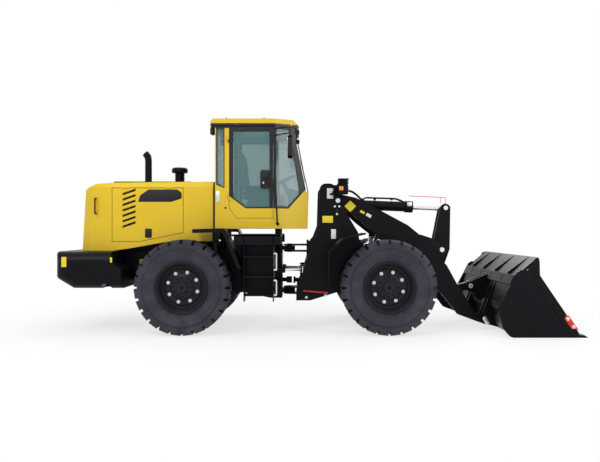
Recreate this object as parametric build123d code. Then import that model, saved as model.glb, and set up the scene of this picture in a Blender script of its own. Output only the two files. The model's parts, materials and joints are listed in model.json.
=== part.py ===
"""Articulated wheel loader with a Z-bar arm and a general-purpose bucket.

Millimetres. X runs forward to the bucket, Y to the machine's left, Z up; the origin lies on the ground
under the middle of the machine. It stands as it parks: arms down, bucket flat on the ground.
"""

from build123d import *
import math
import os

# ---- driving dimensions -------------------------------------------------------------------------------
WHEELBASE = 2850
FRONT_AXLE_X = 975
REAR_AXLE_X = FRONT_AXLE_X - WHEELBASE
AXLE_Z = 660  # also the tyre's radius over its lugs
HALF_TRACK = 925
TYRE_WIDTH = 445
RIM_SEAT_R = 350
AXLE_TUBE_R = 105
AXLE_NOSE_R = 95

HINGE_X = -415  # the steering axis
HINGE_PIN_R = 35
UPPER_HINGE_Z = 1180
LOWER_HINGE_Z = 535
TONGUE_T = 60
STEER_Z = 862
STEER_PIN_R = 20
SHAFT_Z = 690
SHAFT_TUNNEL_R = 62

REAR_X = -3640
TOW_X = -3550
TOW_R = 25
CHASSIS_HALF = 345
BOX_HALF = 215
WEIGHT_HALF = 1050
HOOD_HALF = 660
CAB_HALF = 720
CAB_BOTTOM_Z = 1471
FENDER_HALF = 1130
PANEL_T = 40

ARM_Y = 460
ARM_T = 50
ARM_PIVOT = (300, 1880)
BUCKET_PIN = (2457, 150)
CRANK_PIVOT = (1885, 1155)
CRANK_TOP = (1970, 1788)
CRANK_LOW = (1800, 480)
LINK_PIN = (2356, 600)
TILT_BASE = (380, 1850)
LIFT_BASE = (-50, 560)
LIFT_EYE = (900, 1290)
LIFT_Y = 320
LIFT_PIN_R = 35
LINK_PIN_R = 42
TILT_PIN_R = 35
STEER_BASE = (-1000, 410)
STEER_EYE = (-210, 285)

BUCKET_HALF = 1240
BUCKET_TIP_X = 3640

SIDES = (-1, 1)  # right, left


# ---- shared helpers -----------------------------------------------------------------------------------
def outline(*corners):
    """A closed outline; each corner is (first, second) or (first, second, rounding radius)."""
    points = [corner[:2] for corner in corners]
    radii = [corner[2] if len(corner) > 2 else 0 for corner in corners]
    return make_face(FilletPolyline(*points, radius=radii, close=True))


def disc(centre, radius):
    """A round outline about a point."""
    return Pos(*centre) * Circle(radius)


def across(face, low, high):
    """An outline drawn in X and Z, made solid between two distances to the left."""
    return extrude(Plane.XZ.offset(-high) * face, amount=high - low)


def along(face, low, high):
    """An outline drawn in Y and Z, made solid between two distances forward."""
    return extrude(Plane.YZ.offset(low) * face, amount=high - low)


def upward(face, low, high):
    """An outline drawn in X and Y, made solid between two heights."""
    return extrude(Plane.XY.offset(low) * face, amount=high - low)


def block(x, y, z):
    """A box between three pairs of limits."""
    middle = [(low + high) / 2 for low, high in (x, y, z)]
    return Pos(*middle) * Box(*[high - low for low, high in (x, y, z)])


def bar(start, end, radius):
    """A round bar between two points."""
    run = Vector(*end) - Vector(*start)
    seat = Plane(origin=start, z_dir=run)
    return seat * Cylinder(radius, run.length, align=(Align.CENTER, Align.CENTER, Align.MIN))


def cross_bar(centre, radius, low, high):
    """A round bar across the machine, centred on a point of X and Z."""
    return bar((centre[0], low, centre[1]), (centre[0], high, centre[1]), radius)


def mirrored_span(side, low, high):
    """A span of distances from the middle, on the right (-1) or the left (1)."""
    return tuple(sorted((side * low, side * high)))


PARTS = {}


def keep(name, *solids):
    """Name a piece, fusing what it is made of."""
    shape = solids[0]
    if len(solids) > 1:
        shape = shape + list(solids[1:])
    PARTS[name] = shape


def keep_apart(name, solids):
    """Name a piece made of several solids that don't touch."""
    flat = [part for solid in solids for part in solid.solids()]
    PARTS[name] = Compound(children=flat)


# ---- wheels -------------------------------------------------------------------------------------------
LUGS = 24  # in each of the two staggered rows
LUG_SPAN = 0.7  # of the pitch, at the tips
LUG_FOOT = 0.8
LUG_TOP_R = AXLE_Z * math.cos(math.pi / LUGS * LUG_SPAN) / math.cos(math.pi / LUGS * (1 - LUG_SPAN))
LUG_ROOT_R = 598
LUG_REACH = 720  # before the crown trims the tips
LUG_END = 216
SHOULDER = 150


def lug_ring():
    """The toothed outline of one row of lugs."""
    pitch = 2 * math.pi / LUGS
    points = []
    tooth = (
        (LUG_ROOT_R, -LUG_FOOT), (LUG_REACH, -LUG_SPAN), (LUG_REACH, LUG_SPAN), (LUG_ROOT_R, LUG_FOOT),
    )
    for step in range(LUGS):
        for radius, share in tooth:
            angle = (step + share / 2) * pitch
            points.append((radius * math.sin(angle), radius * math.cos(angle)))
    return make_face(Polyline(*points, close=True)) - Circle(LUG_ROOT_R - 60)


def tread_row(side):
    """One row of lugs, flat on top, sloped to the shoulder, with the tooth gaps open at the side."""
    row = across(lug_ring(), *mirrored_span(side, 9, LUG_END))
    flat = RegularPolygon(LUG_TOP_R, LUGS, major_radius=False, rotation=180 / LUGS + 90)
    crown = across(flat, *mirrored_span(side, 0, SHOULDER))
    brim = Plane.XZ.offset(-side * SHOULDER) * flat
    crown += extrude(brim, amount=LUG_END - SHOULDER + 10, dir=(0, side, 0), taper=27)
    return Rot(0, 0 if side > 0 else 180 / LUGS, 0) * (row & crown)


def tyre():
    """A wide earthmover tyre about the Y axis, with two staggered rows of lugs."""
    half = TYRE_WIDTH / 2
    section = make_face(
        Polyline(
            (-172, RIM_SEAT_R), (-half, 520), (-205, 586), (205, 586), (half, 520), (172, RIM_SEAT_R),
            close=True,
        )
    )
    return revolve(Plane.YZ * section, axis=Axis.Y) + [tread_row(s) for s in SIDES]


def rim():
    """A dished rim with its planetary hub, its open face towards -Y."""
    seat, lip, recess, hub = RIM_SEAT_R, 354, 299, 148
    section = make_face(
        Polyline(
            (-190, lip), (-190, 334), (-150, recess + 12), (-60, recess), (-60, hub + 40), (-75, hub),
            (-118, hub), (-118, 85), (-150, 78), (-150, 0), (30, 0), (30, hub + 30), (-20, recess + 22),
            (160, recess + 22), (190, 340), (190, lip), (172, seat), (-172, seat),
            close=True,
        )
    )
    return revolve(Plane.YZ * section, axis=Axis.Y)


def wheels():
    """Four wheels, each a tyre on a rim."""
    tread, centre = tyre(), rim()
    places = (("front", FRONT_AXLE_X), ("rear", REAR_AXLE_X))
    for end, x in places:
        for side, name in zip(SIDES, ("right", "left")):
            turn = Rot(0, 0, 0 if side < 0 else 180)
            spot = Pos(x, side * HALF_TRACK, AXLE_Z) * turn
            keep(f"tyre_{end}_{name}", spot * tread)
            keep(f"rim_{end}_{name}", spot * centre)


def axle(x, nose):
    """A drive axle with its differential, an input nose towards one end, and hub flanges."""
    reach = HALF_TRACK - 30
    tube = bar((x, -reach, AXLE_Z), (x, reach, AXLE_Z), AXLE_TUBE_R)
    bulge = Polyline((-290, 0), (-290, 90), (-120, 215), (120, 215), (290, 90), (290, 0), close=True)
    ball = Pos(x, 0, AXLE_Z) * revolve(Plane.YZ * make_face(bulge), axis=Axis.Y)
    flanges = [bar((x, s * reach, AXLE_Z), (x, s * (reach - 150), AXLE_Z), 165) for s in SIDES]
    ends = (x - 290, x + 290) if nose > 0 else (x, x - 330)
    neck = bar((ends[0], 0, AXLE_Z), (ends[1], 0, AXLE_Z), AXLE_NOSE_R)
    return tube + ball + flanges + neck


# ---- rear frame ---------------------------------------------------------------------------------------
def rear_frame():
    """The engine-end chassis: two rails that narrow to a box, cross pieces and the steering tongues."""
    rail = outline(
        (-3400, 720), (-2500, 711), (-2250, 800), (-2160, 960), (-1590, 960), (-1500, 800),
        (-1350, 560, 60), (-1120, 520), (-1120, 1300), (-1300, 1300), (-1500, 1140), (-3400, 1140),
    )
    inside = CHASSIS_HALF - 30
    rails = [across(rail, *mirrored_span(s, inside, CHASSIS_HALF)) for s in SIDES]
    box_side = outline((-1130, 520), (-700, 430), (-520, 430), (-520, 1240), (-1130, 1300))
    box_walls = [across(box_side, *mirrored_span(s, BOX_HALF - 30, BOX_HALF)) for s in SIDES]
    ties = [
        block((-3400, -3360), (-inside, inside), (720, 1140)),
        block((-2800, -2720), (-inside, inside), (760, 1141)),
        block((-2100, -2050), (-inside, inside), (970, 1141)),
        block((-1150, -1120), (-CHASSIS_HALF, CHASSIS_HALF), (520, 1300)),
        block((-1150, -1120), (-505, 505), (STEER_Z - 80, STEER_Z + 80)),
        block((-560, -520), (-BOX_HALF, BOX_HALF), (430, 1240)),
        block((-560, -520), (-330, 330), (1000, 1240)),
    ]
    tongues = []
    for z in (UPPER_HINGE_Z, LOWER_HINGE_Z):
        lug = outline((-540, -150), (HINGE_X, -88), (HINGE_X, 88), (-540, 150))
        tongue = upward(lug, z - TONGUE_T / 2, z + TONGUE_T / 2)
        tongues.append(tongue + upward(disc((HINGE_X, 0), 88), z - TONGUE_T / 2, z + TONGUE_T / 2))
    saddles = []
    for reach in (-260, 260):
        x = REAR_AXLE_X + reach
        saddle = outline(
            (-inside, 1100), (-inside, 960), (-120, AXLE_Z - 60), (120, AXLE_Z - 60), (inside, 960),
            (inside, 1100),
        )
        hole = bar((x - 60, 0, AXLE_Z), (x + 60, 0, AXLE_Z), AXLE_NOSE_R)
        saddles.append(along(saddle, x - 25, x + 25) - hole)
    ears = []
    for s in SIDES:
        x, y = STEER_BASE
        for low in (STEER_Z - 70, STEER_Z + 48):
            ear = outline((-1125, y - 65), (x + 45, y - 45, 30), (x + 45, y + 45, 30), (-1125, y + 65))
            plate = upward(ear, low, low + 22)
            ears.append(plate if s > 0 else mirror(plate, about=Plane.XZ))
        ears.append(bar((x, s * y, STEER_Z - 85), (x, s * y, STEER_Z + 85), STEER_PIN_R))
    mounts = [bar((x, s * y, z), (x, s * y, CAB_BOTTOM_Z), 45)
              for x, y, z in ((-1390, 330, 1180), (-580, 290, 1235)) for s in SIDES]
    frame = rails[0] + [rails[1], *box_walls, *ties, *tongues, *saddles, *mounts]
    frame -= bar((HINGE_X, 0, 400), (HINGE_X, 0, 1400), HINGE_PIN_R + 0.06)
    frame -= bar((-1200, 0, SHAFT_Z), (-500, 0, SHAFT_Z), SHAFT_TUNNEL_R)
    return frame + ears


def counterweight():
    """The cast weight across the tail, with rounded rear corners."""
    side = outline(
        (REAR_X, 1154, 30), (REAR_X, 784, 40), (-3405, 641, 60), (-2715, 641), (-2715, 900), (-2863, 1000),
        (-2863, 1154),
    )
    body = across(side, -WEIGHT_HALF, WEIGHT_HALF)
    rear = body.edges().filter_by(Axis.Z).group_by(Axis.X)[0]
    body = fillet(rear, 150)
    well = block((-3400, -2600), (-CHASSIS_HALF, CHASSIS_HALF), (600, 1200))
    notches = [across(disc((-2940, 641), 70), *mirrored_span(s, 700, WEIGHT_HALF + 10)) for s in SIDES]
    hitch = block((REAR_X - 10, TOW_X + 60), (-60, 60), (860, 980))
    return body - [well, *notches, hitch, bar((TOW_X, 0, 790), (TOW_X, 0, 1200), TOW_R)]


def power_unit():
    """The engine, radiator and gearbox as plain blocks of their real place and size."""
    engine = block((-2850, -1980), (-300, 300), (1141, 1780))
    radiator = block((-3290, -3170), (-480, 480), (1154, 1980))
    gearbox = block((-1480, -1150), (-250, 250), (560, 1100))
    return engine, radiator, gearbox


EXHAUST_X = -2588
EXHAUST_R = 52
CLEANER_X = -2105
CLEANER_R = 68
HOOD_SIDE = (
    (-3398, 1154), (-3337, 2028, 60), (-3191, 2119, 60), (-2958, 2137), (-1501, 2152), (-1501, 1291),
    (-2037, 1291), (-2229, 1272), (-2696, 1189), (-2940, 1154),
)
HOOD_HINGE = (668, 2057)
HOOD_KNUCKLE = 45
LOUVRES = 7
LOUVRE_LOW = 1480
LOUVRE_PITCH = 78
DOOR_SIDE = ((-2956, 1284), (-2570, 1280), (-1926, 1411), (-1926, 2060), (-2956, 2060))


def hood_body(inset, side):
    """The hood's bulk, its top and rear corners chamfered, drawn in by an inset."""
    half, top, tail = HOOD_HALF - inset, 2152 - inset, -3398 + inset
    bevel = 62
    front = -1300
    section = outline(
        (-half, 1000), (half, 1000), (half, top - bevel - 15), (half - bevel, top), (-half + bevel, top),
        (-half, top - bevel - 15),
    )
    plan = outline(
        (tail, -half + bevel), (tail + bevel + 60, -half), (front, -half), (front, half),
        (tail + bevel + 60, half), (tail, half - bevel),
    )
    return across(outline(*side), -half, half) & along(section, -3500, front) & upward(plan, 1000, 2300)


def hood():
    """The engine cover: an open shell with side openings and a rear opening."""
    inner_side = (
        (-3400 + PANEL_T, 1100), (-3337 + PANEL_T, 2010, 40), (-3185, 2119 - PANEL_T, 40),
        (-2950, 2137 - PANEL_T), (-1400, 2152 - PANEL_T), (-1400, 1100),
    )
    side_hole = across(outline(*DOOR_SIDE), -HOOD_HALF - 50, HOOD_HALF + 50)
    rear_hole = block((-3500, -3250), (-480, 480), (1240, 1940))
    holes = ((EXHAUST_X, EXHAUST_R + 8), (CLEANER_X, CLEANER_R))
    pipes = [bar((x, 0, 2000), (x, 0, 2300), radius) for x, radius in holes]
    shell = hood_body(0, HOOD_SIDE) - [hood_body(PANEL_T, inner_side), side_hole, rear_hole, *pipes]
    return shell + [knuckle for s in SIDES for knuckle in hood_knuckles(s, 1)]


def hood_knuckles(side, turn):
    """The hinge barrels along the hood's side seam: turn 0 rides on the door, 1 on the hood."""
    y, z = HOOD_HINGE
    starts = [x + turn * (HOOD_KNUCKLE + 2) for x in (-2820, -2180)]
    barrels = [bar((x, side * y, z), (x + HOOD_KNUCKLE, side * y, z), 7) for x in starts]
    leaf = (z, z + 14) if turn else (z - 14, z)
    spans = mirrored_span(side, HOOD_HALF - 2, y)
    return barrels + [block((x, x + HOOD_KNUCKLE), spans, leaf) for x in starts]


def hood_door(side):
    """A gull-wing side door with slanted louvres, hinged along its top edge."""
    gap = 6
    panel = outline(
        (-2956 + gap, 1284 + gap), (-2570, 1280 + gap), (-1926 - gap, 1411 + gap), (-1926 - gap, 2060 - gap),
        (-2956 + gap, 2060 - gap),
    )
    skin = across(panel, *mirrored_span(side, HOOD_HALF - PANEL_T, HOOD_HALF))
    slots = []
    for step in range(LOUVRES):
        z = LOUVRE_LOW + step * LOUVRE_PITCH
        slot = outline((-2805, z), (-2805, z + 34), (-2615, z + 100), (-2615, z + 66))
        slots.append(across(slot, *mirrored_span(side, HOOD_HALF - 80, HOOD_HALF + 20)))
    return skin - slots + hood_knuckles(side, 0)


GRILLE_HINGE = (-3374, 466)


def grille_door():
    """The rear grille: a framed door of upright bars in front of the radiator."""
    frame = block((-3372, -3338), (-470, 470), (1250, 1930))
    frame -= block((-3400, -3300), (-420, 420), (1300, 1880))
    bars = [block((-3368, -3342), (y - 9, y + 9), (1290, 1890)) for y in range(-385, 386, 55)]
    knuckles = [bar((*GRILLE_HINGE, z), (*GRILLE_HINGE, z + 60), 12) for z in (1370, 1750)]
    return frame + [*bars, *knuckles]


def rear_fender(side):
    """A flat-topped mudguard over a rear wheel, with its turned-down lip."""
    top = ((-1722, 1464), (-1279, 1477, 60), (-1057, 929))
    under = ((-1085, 929), (-1295, 1452, 50), (-1722, 1439))
    sheet = across(outline(*top, *under), *mirrored_span(side, CAB_HALF + 5, FENDER_HALF))
    lip_under = ((-1110, 929), (-1312, 1420, 50), (-1722, 1410))
    lip = across(outline(*top, *lip_under), *mirrored_span(side, FENDER_HALF - 25, FENDER_HALF))
    hanger_side = outline(
        (side * CHASSIS_HALF, 1000), (side * 640, 1250), (side * (CAB_HALF + 30), 1290),
        (side * (CAB_HALF + 30), 1455), (side * CHASSIS_HALF, 1455),
    )
    hanger = along(hanger_side, -1498, -1460)
    return sheet + lip + hanger


def platform(side):
    """The deck beside the cab, with the tank below it and the ladder outboard."""
    deck = block((-1216, -513), mirrored_span(side, 560, 1100), (1365, 1390))
    tank = block((-1026, -613), mirrored_span(side, 560, 900), (640, 1365))
    link = block((-960, -700), mirrored_span(side, BOX_HALF, 560), (1000, 1200))
    rails = [block(x, mirrored_span(side, 900, 1100), (468, 1365)) for x in ((-1026, -1014), (-625, -613))]
    treads = [block((-1014, -625), mirrored_span(side, 880, 1100), (z, z + 22)) for z in (545, 800, 1075)]
    return [deck, tank, link, *rails, *treads]


# ---- cab ----------------------------------------------------------------------------------------------
CAB_SIDE = ((-1466, 1471), (-1466, 2940), (-350, 2940), (-160, 2013), (-125, 1990), (-140, 1471))
CAB_KNEE_X = -600  # where the side walls start to lean in towards the screen
CAB_NOSE = (-125, 445)
DOOR_PANEL = ((-1266, 2920), (-632, 2920), (-632, 1618), (-1157, 1618), (-1266, 1760))
DOOR_WINDOW = ((-1215, 2870, 30), (-682, 2870, 30), (-682, 1775, 30), (-1035, 1775, 30), (-1215, 1915, 30))
DOOR_GAP = 5
DOOR_HINGE = (-1266, 734)


def cab_bulk(inset, low=1000, high=3200):
    """All that lies inside the cab's walls as seen from above, drawn in by an inset."""
    nose_x, nose_half = CAB_NOSE
    plan = outline(
        (-1466, -CAB_HALF), (CAB_KNEE_X, -CAB_HALF), (nose_x, -nose_half), (nose_x, nose_half),
        (CAB_KNEE_X, CAB_HALF), (-1466, CAB_HALF),
    )
    return upward(offset(plan, -inset, kind=Kind.INTERSECTION) if inset else plan, low, high)


def door_knuckles(side, turn):
    """The hinge barrels of a cab door: turn 0 rides on the door, 1 on the cab."""
    x, y = DOOR_HINGE
    starts = [z + turn * 42 for z in (1880, 2700)]
    barrels = [bar((x, side * y, z), (x, side * y, z + 40), 12) for z in starts]
    leaf = (x - 40, x) if turn else (x, x + 55)
    span = mirrored_span(side, CAB_HALF - 6, CAB_HALF + 10)
    return barrels + [block(leaf, span, (z, z + 40)) for z in starts]


def cab_shell():
    """The cab's walls and floor, with its windows and door openings cut out."""
    outer = across(outline(*CAB_SIDE), -CAB_HALF, CAB_HALF) & cab_bulk(0)
    inner_side = outline(
        (-1426, 1511), (-1426, 3000), (-390, 3000), (-385, 2940), (-200, 2020), (-168, 1990), (-180, 1511),
    )
    inner = across(inner_side, -CAB_HALF, CAB_HALF) & cab_bulk(PANEL_T)
    reach = CAB_HALF + 50
    openings = [
        across(outline(*DOOR_PANEL), -reach, reach),
        across(outline((-592, 2900), (-592, 1790), (-418, 1790), (-250, 1980), (-400, 2900)), -reach, reach),
        across(outline((-1440, 2900), (-1440, 2109), (-1340, 2060), (-1340, 2900)), -reach, reach),
        block((-1500, -1400), (-600, 600), (2060, 2880)),
        along(outline((-410, 2030), (410, 2030), (520, 2890), (-520, 2890)), -500, 0),
    ]
    return outer - inner - openings + [knuckle for s in SIDES for knuckle in door_knuckles(s, 1)]


def cab_glass():
    """The fixed panes: windscreen, rear pane and quarter panes."""
    slope = outline((-372, 2886), (-350, 2886), (-178, 2034), (-200, 2034))
    screen = across(slope, -CAB_HALF, CAB_HALF) & along(
        outline((-406, 2030), (406, 2030), (516, 2890), (-516, 2890)), -500, 0)
    panes = [screen, block((-1450, -1444), (-596, 596), (2064, 2876))]
    skin = cab_bulk(18) - cab_bulk(24)
    for s in SIDES:
        span = mirrored_span(s, 300, CAB_HALF)
        quarters = (
            ((-588, 2896), (-588, 1794), (-420, 1794), (-256, 1981), (-404, 2896)),
            ((-1436, 2896), (-1436, 2114), (-1344, 2066), (-1344, 2896)),
        )
        for quarter in quarters:
            panes.append(across(outline(*quarter), *span) & skin)
    return panes


def door_frame(side):
    """A cab door: its frame and lower panel, hinged at the rear edge."""
    g = DOOR_GAP
    panel = outline(
        (-1266 + g, 2920 - g), (-632 - g, 2920 - g), (-632 - g, 1618 + g), (-1155, 1618 + g),
        (-1266 + g, 1762),
    )
    skin = across(panel, *mirrored_span(side, CAB_HALF - PANEL_T, CAB_HALF))
    return skin - across(outline(*DOOR_WINDOW), -CAB_HALF - 50, CAB_HALF + 50) + door_knuckles(side, 0)


def door_glass(side):
    """The pane of a cab door."""
    return across(outline(*DOOR_WINDOW), *mirrored_span(side, CAB_HALF - 24, CAB_HALF - 18))


def cab_roof():
    """The roof panel over the cab."""
    side = outline(
        (-1537, 2940), (-1537, 2995, 30), (-1500, 3040, 40), (-340, 3040, 60), (-270, 2960, 20), (-270, 2940),
    )
    half = CAB_HALF + 30
    plan = outline(
        (-1537, -half, 60), (-620, -half, 200), (-270, -560), (-270, 560), (-620, half, 200),
        (-1537, half, 60),
    )
    return across(side, -half, half) & upward(plan, 2900, 3100)


def seat():
    """The driver's seat: cushion, back and pedestal."""
    cushion = block((-1130, -640), (-250, 250), (1950, 2070))
    back = across(outline((-1150, 2070), (-1040, 2070), (-1110, 2650, 40), (-1230, 2650, 40)), -240, 240)
    pedestal = block((-1060, -740), (-180, 180), (1511, 1950))
    return cushion, back, pedestal


def steering_console():
    """The steering column with its wheel and the dash in front of it."""
    dash_side = outline((-420, 1511), (-190, 1511), (-215, 2000), (-380, 2080, 40), (-440, 2040, 30))
    dash = across(dash_side, -300, 300)
    column = bar((-400, 0, 1950), (-520, 0, 2200), 35)
    rim_section = Pos(195, 0) * RegularPolygon(16, 6)
    ring = Plane(origin=(-520, 0, 2200), z_dir=(-120, 0, 250)) * revolve(Plane.XZ * rim_section, axis=Axis.Z)
    spokes = Plane(origin=(-520, 0, 2200), z_dir=(-120, 0, 250)) * Box(380, 30, 14)
    return [dash, column, ring, spokes]


# ---- front frame --------------------------------------------------------------------------------------
def front_frame():
    """The arm-end chassis: tower plates either side of each arm, bulkheads and the steering clevis."""
    tower = outline(
        (38, 2131, 90), (207, 2131, 90), (292, 2070, 60), (345, 1830), (594, 1423), (640, 1180), (560, 900),
        (282, 542), (-98, 425), (-308, 424), (-305, 595), (-261, 700), (-202, 841), (-128, 1132),
        (-129, 1241), (-46, 1347), (19, 1520),
    )
    inner = outline(
        (38, 2131, 90), (207, 2131, 90), (292, 2070, 60), (345, 1830), (560, 1423), (700, 1190), (1180, 1080),
        (1180, 775), (760, 775), (620, 560), (282, 542), (-98, 425), (-308, 424), (-305, 595), (-285, 650),
        (-152, 720), (-152, 1000), (-128, 1132), (-129, 1241), (-46, 1347), (19, 1520),
    )
    plates = []
    for s in SIDES:
        plates.append(across(tower, *mirrored_span(s, ARM_Y + 40, ARM_Y + 65)))
        plates.append(across(inner, *mirrored_span(s, ARM_Y - 65, ARM_Y - 40)))
        spacers = ((-150, 500), (-60, 1180), (90, 1500), (420, 640), (-90, 900))
        for x, z in spacers:
            plates.append(cross_bar((x, z), 40, *mirrored_span(s, ARM_Y - 45, ARM_Y + 45)))
    inside = ARM_Y - 60
    windows = [
        block((-160, -100), mirrored_span(s, 215, 375), (STEER_Z - 48, STEER_Z + 48)) for s in SIDES
    ]
    ties = [
        block((-150, -120), (-inside, inside), (425, 1300)) - windows,
        block((1140, 1170), (-inside, inside), (800, 1060)),
        block((135, 165), (-inside, inside), (1350, 2000)),
        block((760, 790), (-inside, inside), (900, 1080)),
    ]
    base_tube = cross_bar(LIFT_BASE, LIFT_PIN_R, -inside, inside)
    clevises = []
    fork = outline((HINGE_X, -85), (-130, -170), (-130, 170), (HINGE_X, 85))
    for z in (UPPER_HINGE_Z, LOWER_HINGE_Z):
        for low in (z - TONGUE_T / 2 - 30, z + TONGUE_T / 2 + 5):
            clevises.append(upward(fork, low, low + 25) + upward(disc((HINGE_X, 0), 85), low, low + 25))
    pins = [
        bar((HINGE_X, 0, z - 66), (HINGE_X, 0, z + 66), HINGE_PIN_R) for z in (UPPER_HINGE_Z, LOWER_HINGE_Z)
    ]
    ears = []
    for s in SIDES:
        x, y = STEER_EYE
        for low in (STEER_Z - 70, STEER_Z + 48):
            ear = outline((-130, y - 75), (x - 45, y - 40, 30), (x - 45, y + 40, 30), (-130, y + 60))
            boss = (low - 6, low + 22) if low < STEER_Z else (low, low + 28)
            plate = upward(ear, low, low + 22) + bar((x, y, boss[0]), (x, y, boss[1]), 26)
            ears.append(plate if s > 0 else mirror(plate, about=Plane.XZ))
    tilt_ears = []
    for s in SIDES:
        ear = outline((140, 1700), (140, 2000), (330, 1930), (450, 1900, 40), (450, 1790, 40), (330, 1760))
        tilt_ears.append(across(ear, *mirrored_span(s, 80, 110)))
    pivots = [cross_bar(ARM_PIVOT, 45, *mirrored_span(s, ARM_Y - 75, ARM_Y + 78)) for s in SIDES]
    tilt_ears.append(cross_bar(TILT_BASE, TILT_PIN_R, -125, 125))
    frame = plates[0] + [*plates[1:], *ties, base_tube, *clevises, *ears, *tilt_ears, *pins, *pivots]
    return frame - bar((-300, 0, SHAFT_Z - 10), (100, 0, SHAFT_Z - 10), SHAFT_TUNNEL_R)


def front_fender(side):
    """A mudguard behind and over a front wheel."""
    top = ((122, 719), (125, 1143, 60), (347, 1350, 60), (647, 1412))
    under = ((650, 1390), (356, 1329, 50), (148, 1133, 50), (146, 719))
    sheet = across(outline(*top, *under), *mirrored_span(side, ARM_Y + 65, FENDER_HALF))
    return sheet


def drive_shafts():
    """The shaft in two lengths, from the gearbox to the steering axis and on to the front axle."""
    joint = (HINGE_X, 0, SHAFT_Z)
    rear = bar((-1150, 0, SHAFT_Z), joint, 32)
    rear += bar((HINGE_X - 40, 0, SHAFT_Z), (HINGE_X + 40, 0, SHAFT_Z), 50)
    nose = (FRONT_AXLE_X - 330, 0, AXLE_Z)
    tail = (HINGE_X + 62, 0, SHAFT_Z - 2)
    front = bar(tail, (nose[0] - 20, 0, AXLE_Z + 1), 32) + [
        bar(tail, (HINGE_X + 92, 0, SHAFT_Z - 2.5), 52),
        bar((nose[0] - 40, 0, AXLE_Z), nose, 70),
    ]
    return rear, front


# ---- arms, linkage and bucket -------------------------------------------------------------------------
def boom():
    """Two arms joined by a cross tube that carries the bellcrank's brackets."""
    arm = outline(
        (210, 1900, 80), (300, 1985, 60), (566, 1926), (921, 1743), (1333, 1521), (1477, 1402), (1902, 930),
        (2056, 650), (2308, 245), (2510, 205, 55), (2525, 95, 55), (2392, 95), (2056, 218), (1900, 420, 60),
        (1500, 900, 200), (1040, 1150, 60), (860, 1215, 60), (858, 1393), (636, 1569), (498, 1696),
        (260, 1800, 60),
    )
    arms = []
    for s in SIDES:
        plate = across(arm, *mirrored_span(s, ARM_Y - ARM_T / 2, ARM_Y + ARM_T / 2))
        plate += cross_bar(BUCKET_PIN, 75, *mirrored_span(s, ARM_Y - 45, ARM_Y + 45))
        plate += cross_bar(LIFT_EYE, 62, *mirrored_span(s, LIFT_Y + 40, ARM_Y))
        plate -= cross_bar(ARM_PIVOT, 45.06, *mirrored_span(s, 300, 600))
        plate -= cross_bar(BUCKET_PIN, 40.06, *mirrored_span(s, 300, 600))
        arms.append(plate)
    tube = cross_bar((1560, 1150), 110, -ARM_Y, ARM_Y)
    brackets = []
    for s in SIDES:
        bracket = outline(
            (1500, 1060), (1480, 1240), (1700, 1270), (1905, 1255, 80), (1985, 1150, 80), (1900, 1060, 80),
            (1650, 1030),
        )
        brackets.append(across(bracket, *mirrored_span(s, 190, 225)))
    pin = cross_bar(CRANK_PIVOT, 40, -240, 240)
    return arms[0] + [arms[1], tube, *brackets, pin]


def bellcrank():
    """The two-plate lever that turns the tilt ram's push into the bucket's tilt."""
    (top_x, top_z), (low_x, low_z) = CRANK_TOP, CRANK_LOW
    lever = outline(
        (top_x - 76, top_z + 30, 60), (top_x, top_z + 80, 60), (top_x + 76, top_z + 30, 60), (2035, 1160, 60),
        (1960, 950, 60), (low_x + 90, low_z + 20, 60), (low_x + 20, low_z - 85, 60), (low_x - 80, low_z, 60),
        (1745, 1000, 120), (1770, 1200, 60),
    )
    plates = []
    for s in SIDES:
        plates.append(across(lever, *mirrored_span(s, 55, 90)))
        for eye in (CRANK_TOP, CRANK_LOW):
            plates.append(cross_bar(eye, 42, *mirrored_span(s, 85, 112)))
    hub = cross_bar(CRANK_PIVOT, 90, -185, 185)
    return plates[0] + [*plates[1:], hub] - cross_bar(CRANK_PIVOT, 40.06, -300, 300)


def bucket_link():
    """The link from the bellcrank's foot to the bucket's upper pin."""
    run = Vector(LINK_PIN[0] - CRANK_LOW[0], LINK_PIN[1] - CRANK_LOW[1])
    span = run.length
    flat = across(outline((0, -55), (span, -55), (span, 55), (0, 55)), -48, 48)
    turn = math.degrees(math.atan2(run.Y, run.X))
    shank = Pos(CRANK_LOW[0], 0, CRANK_LOW[1]) * Rot(0, -turn, 0) * flat
    link = shank + [cross_bar(CRANK_LOW, 70, -48, 48), cross_bar(LINK_PIN, 75, -48, 48)]
    return link - cross_bar(LINK_PIN, LINK_PIN_R + 0.06, -60, 60)


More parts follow.
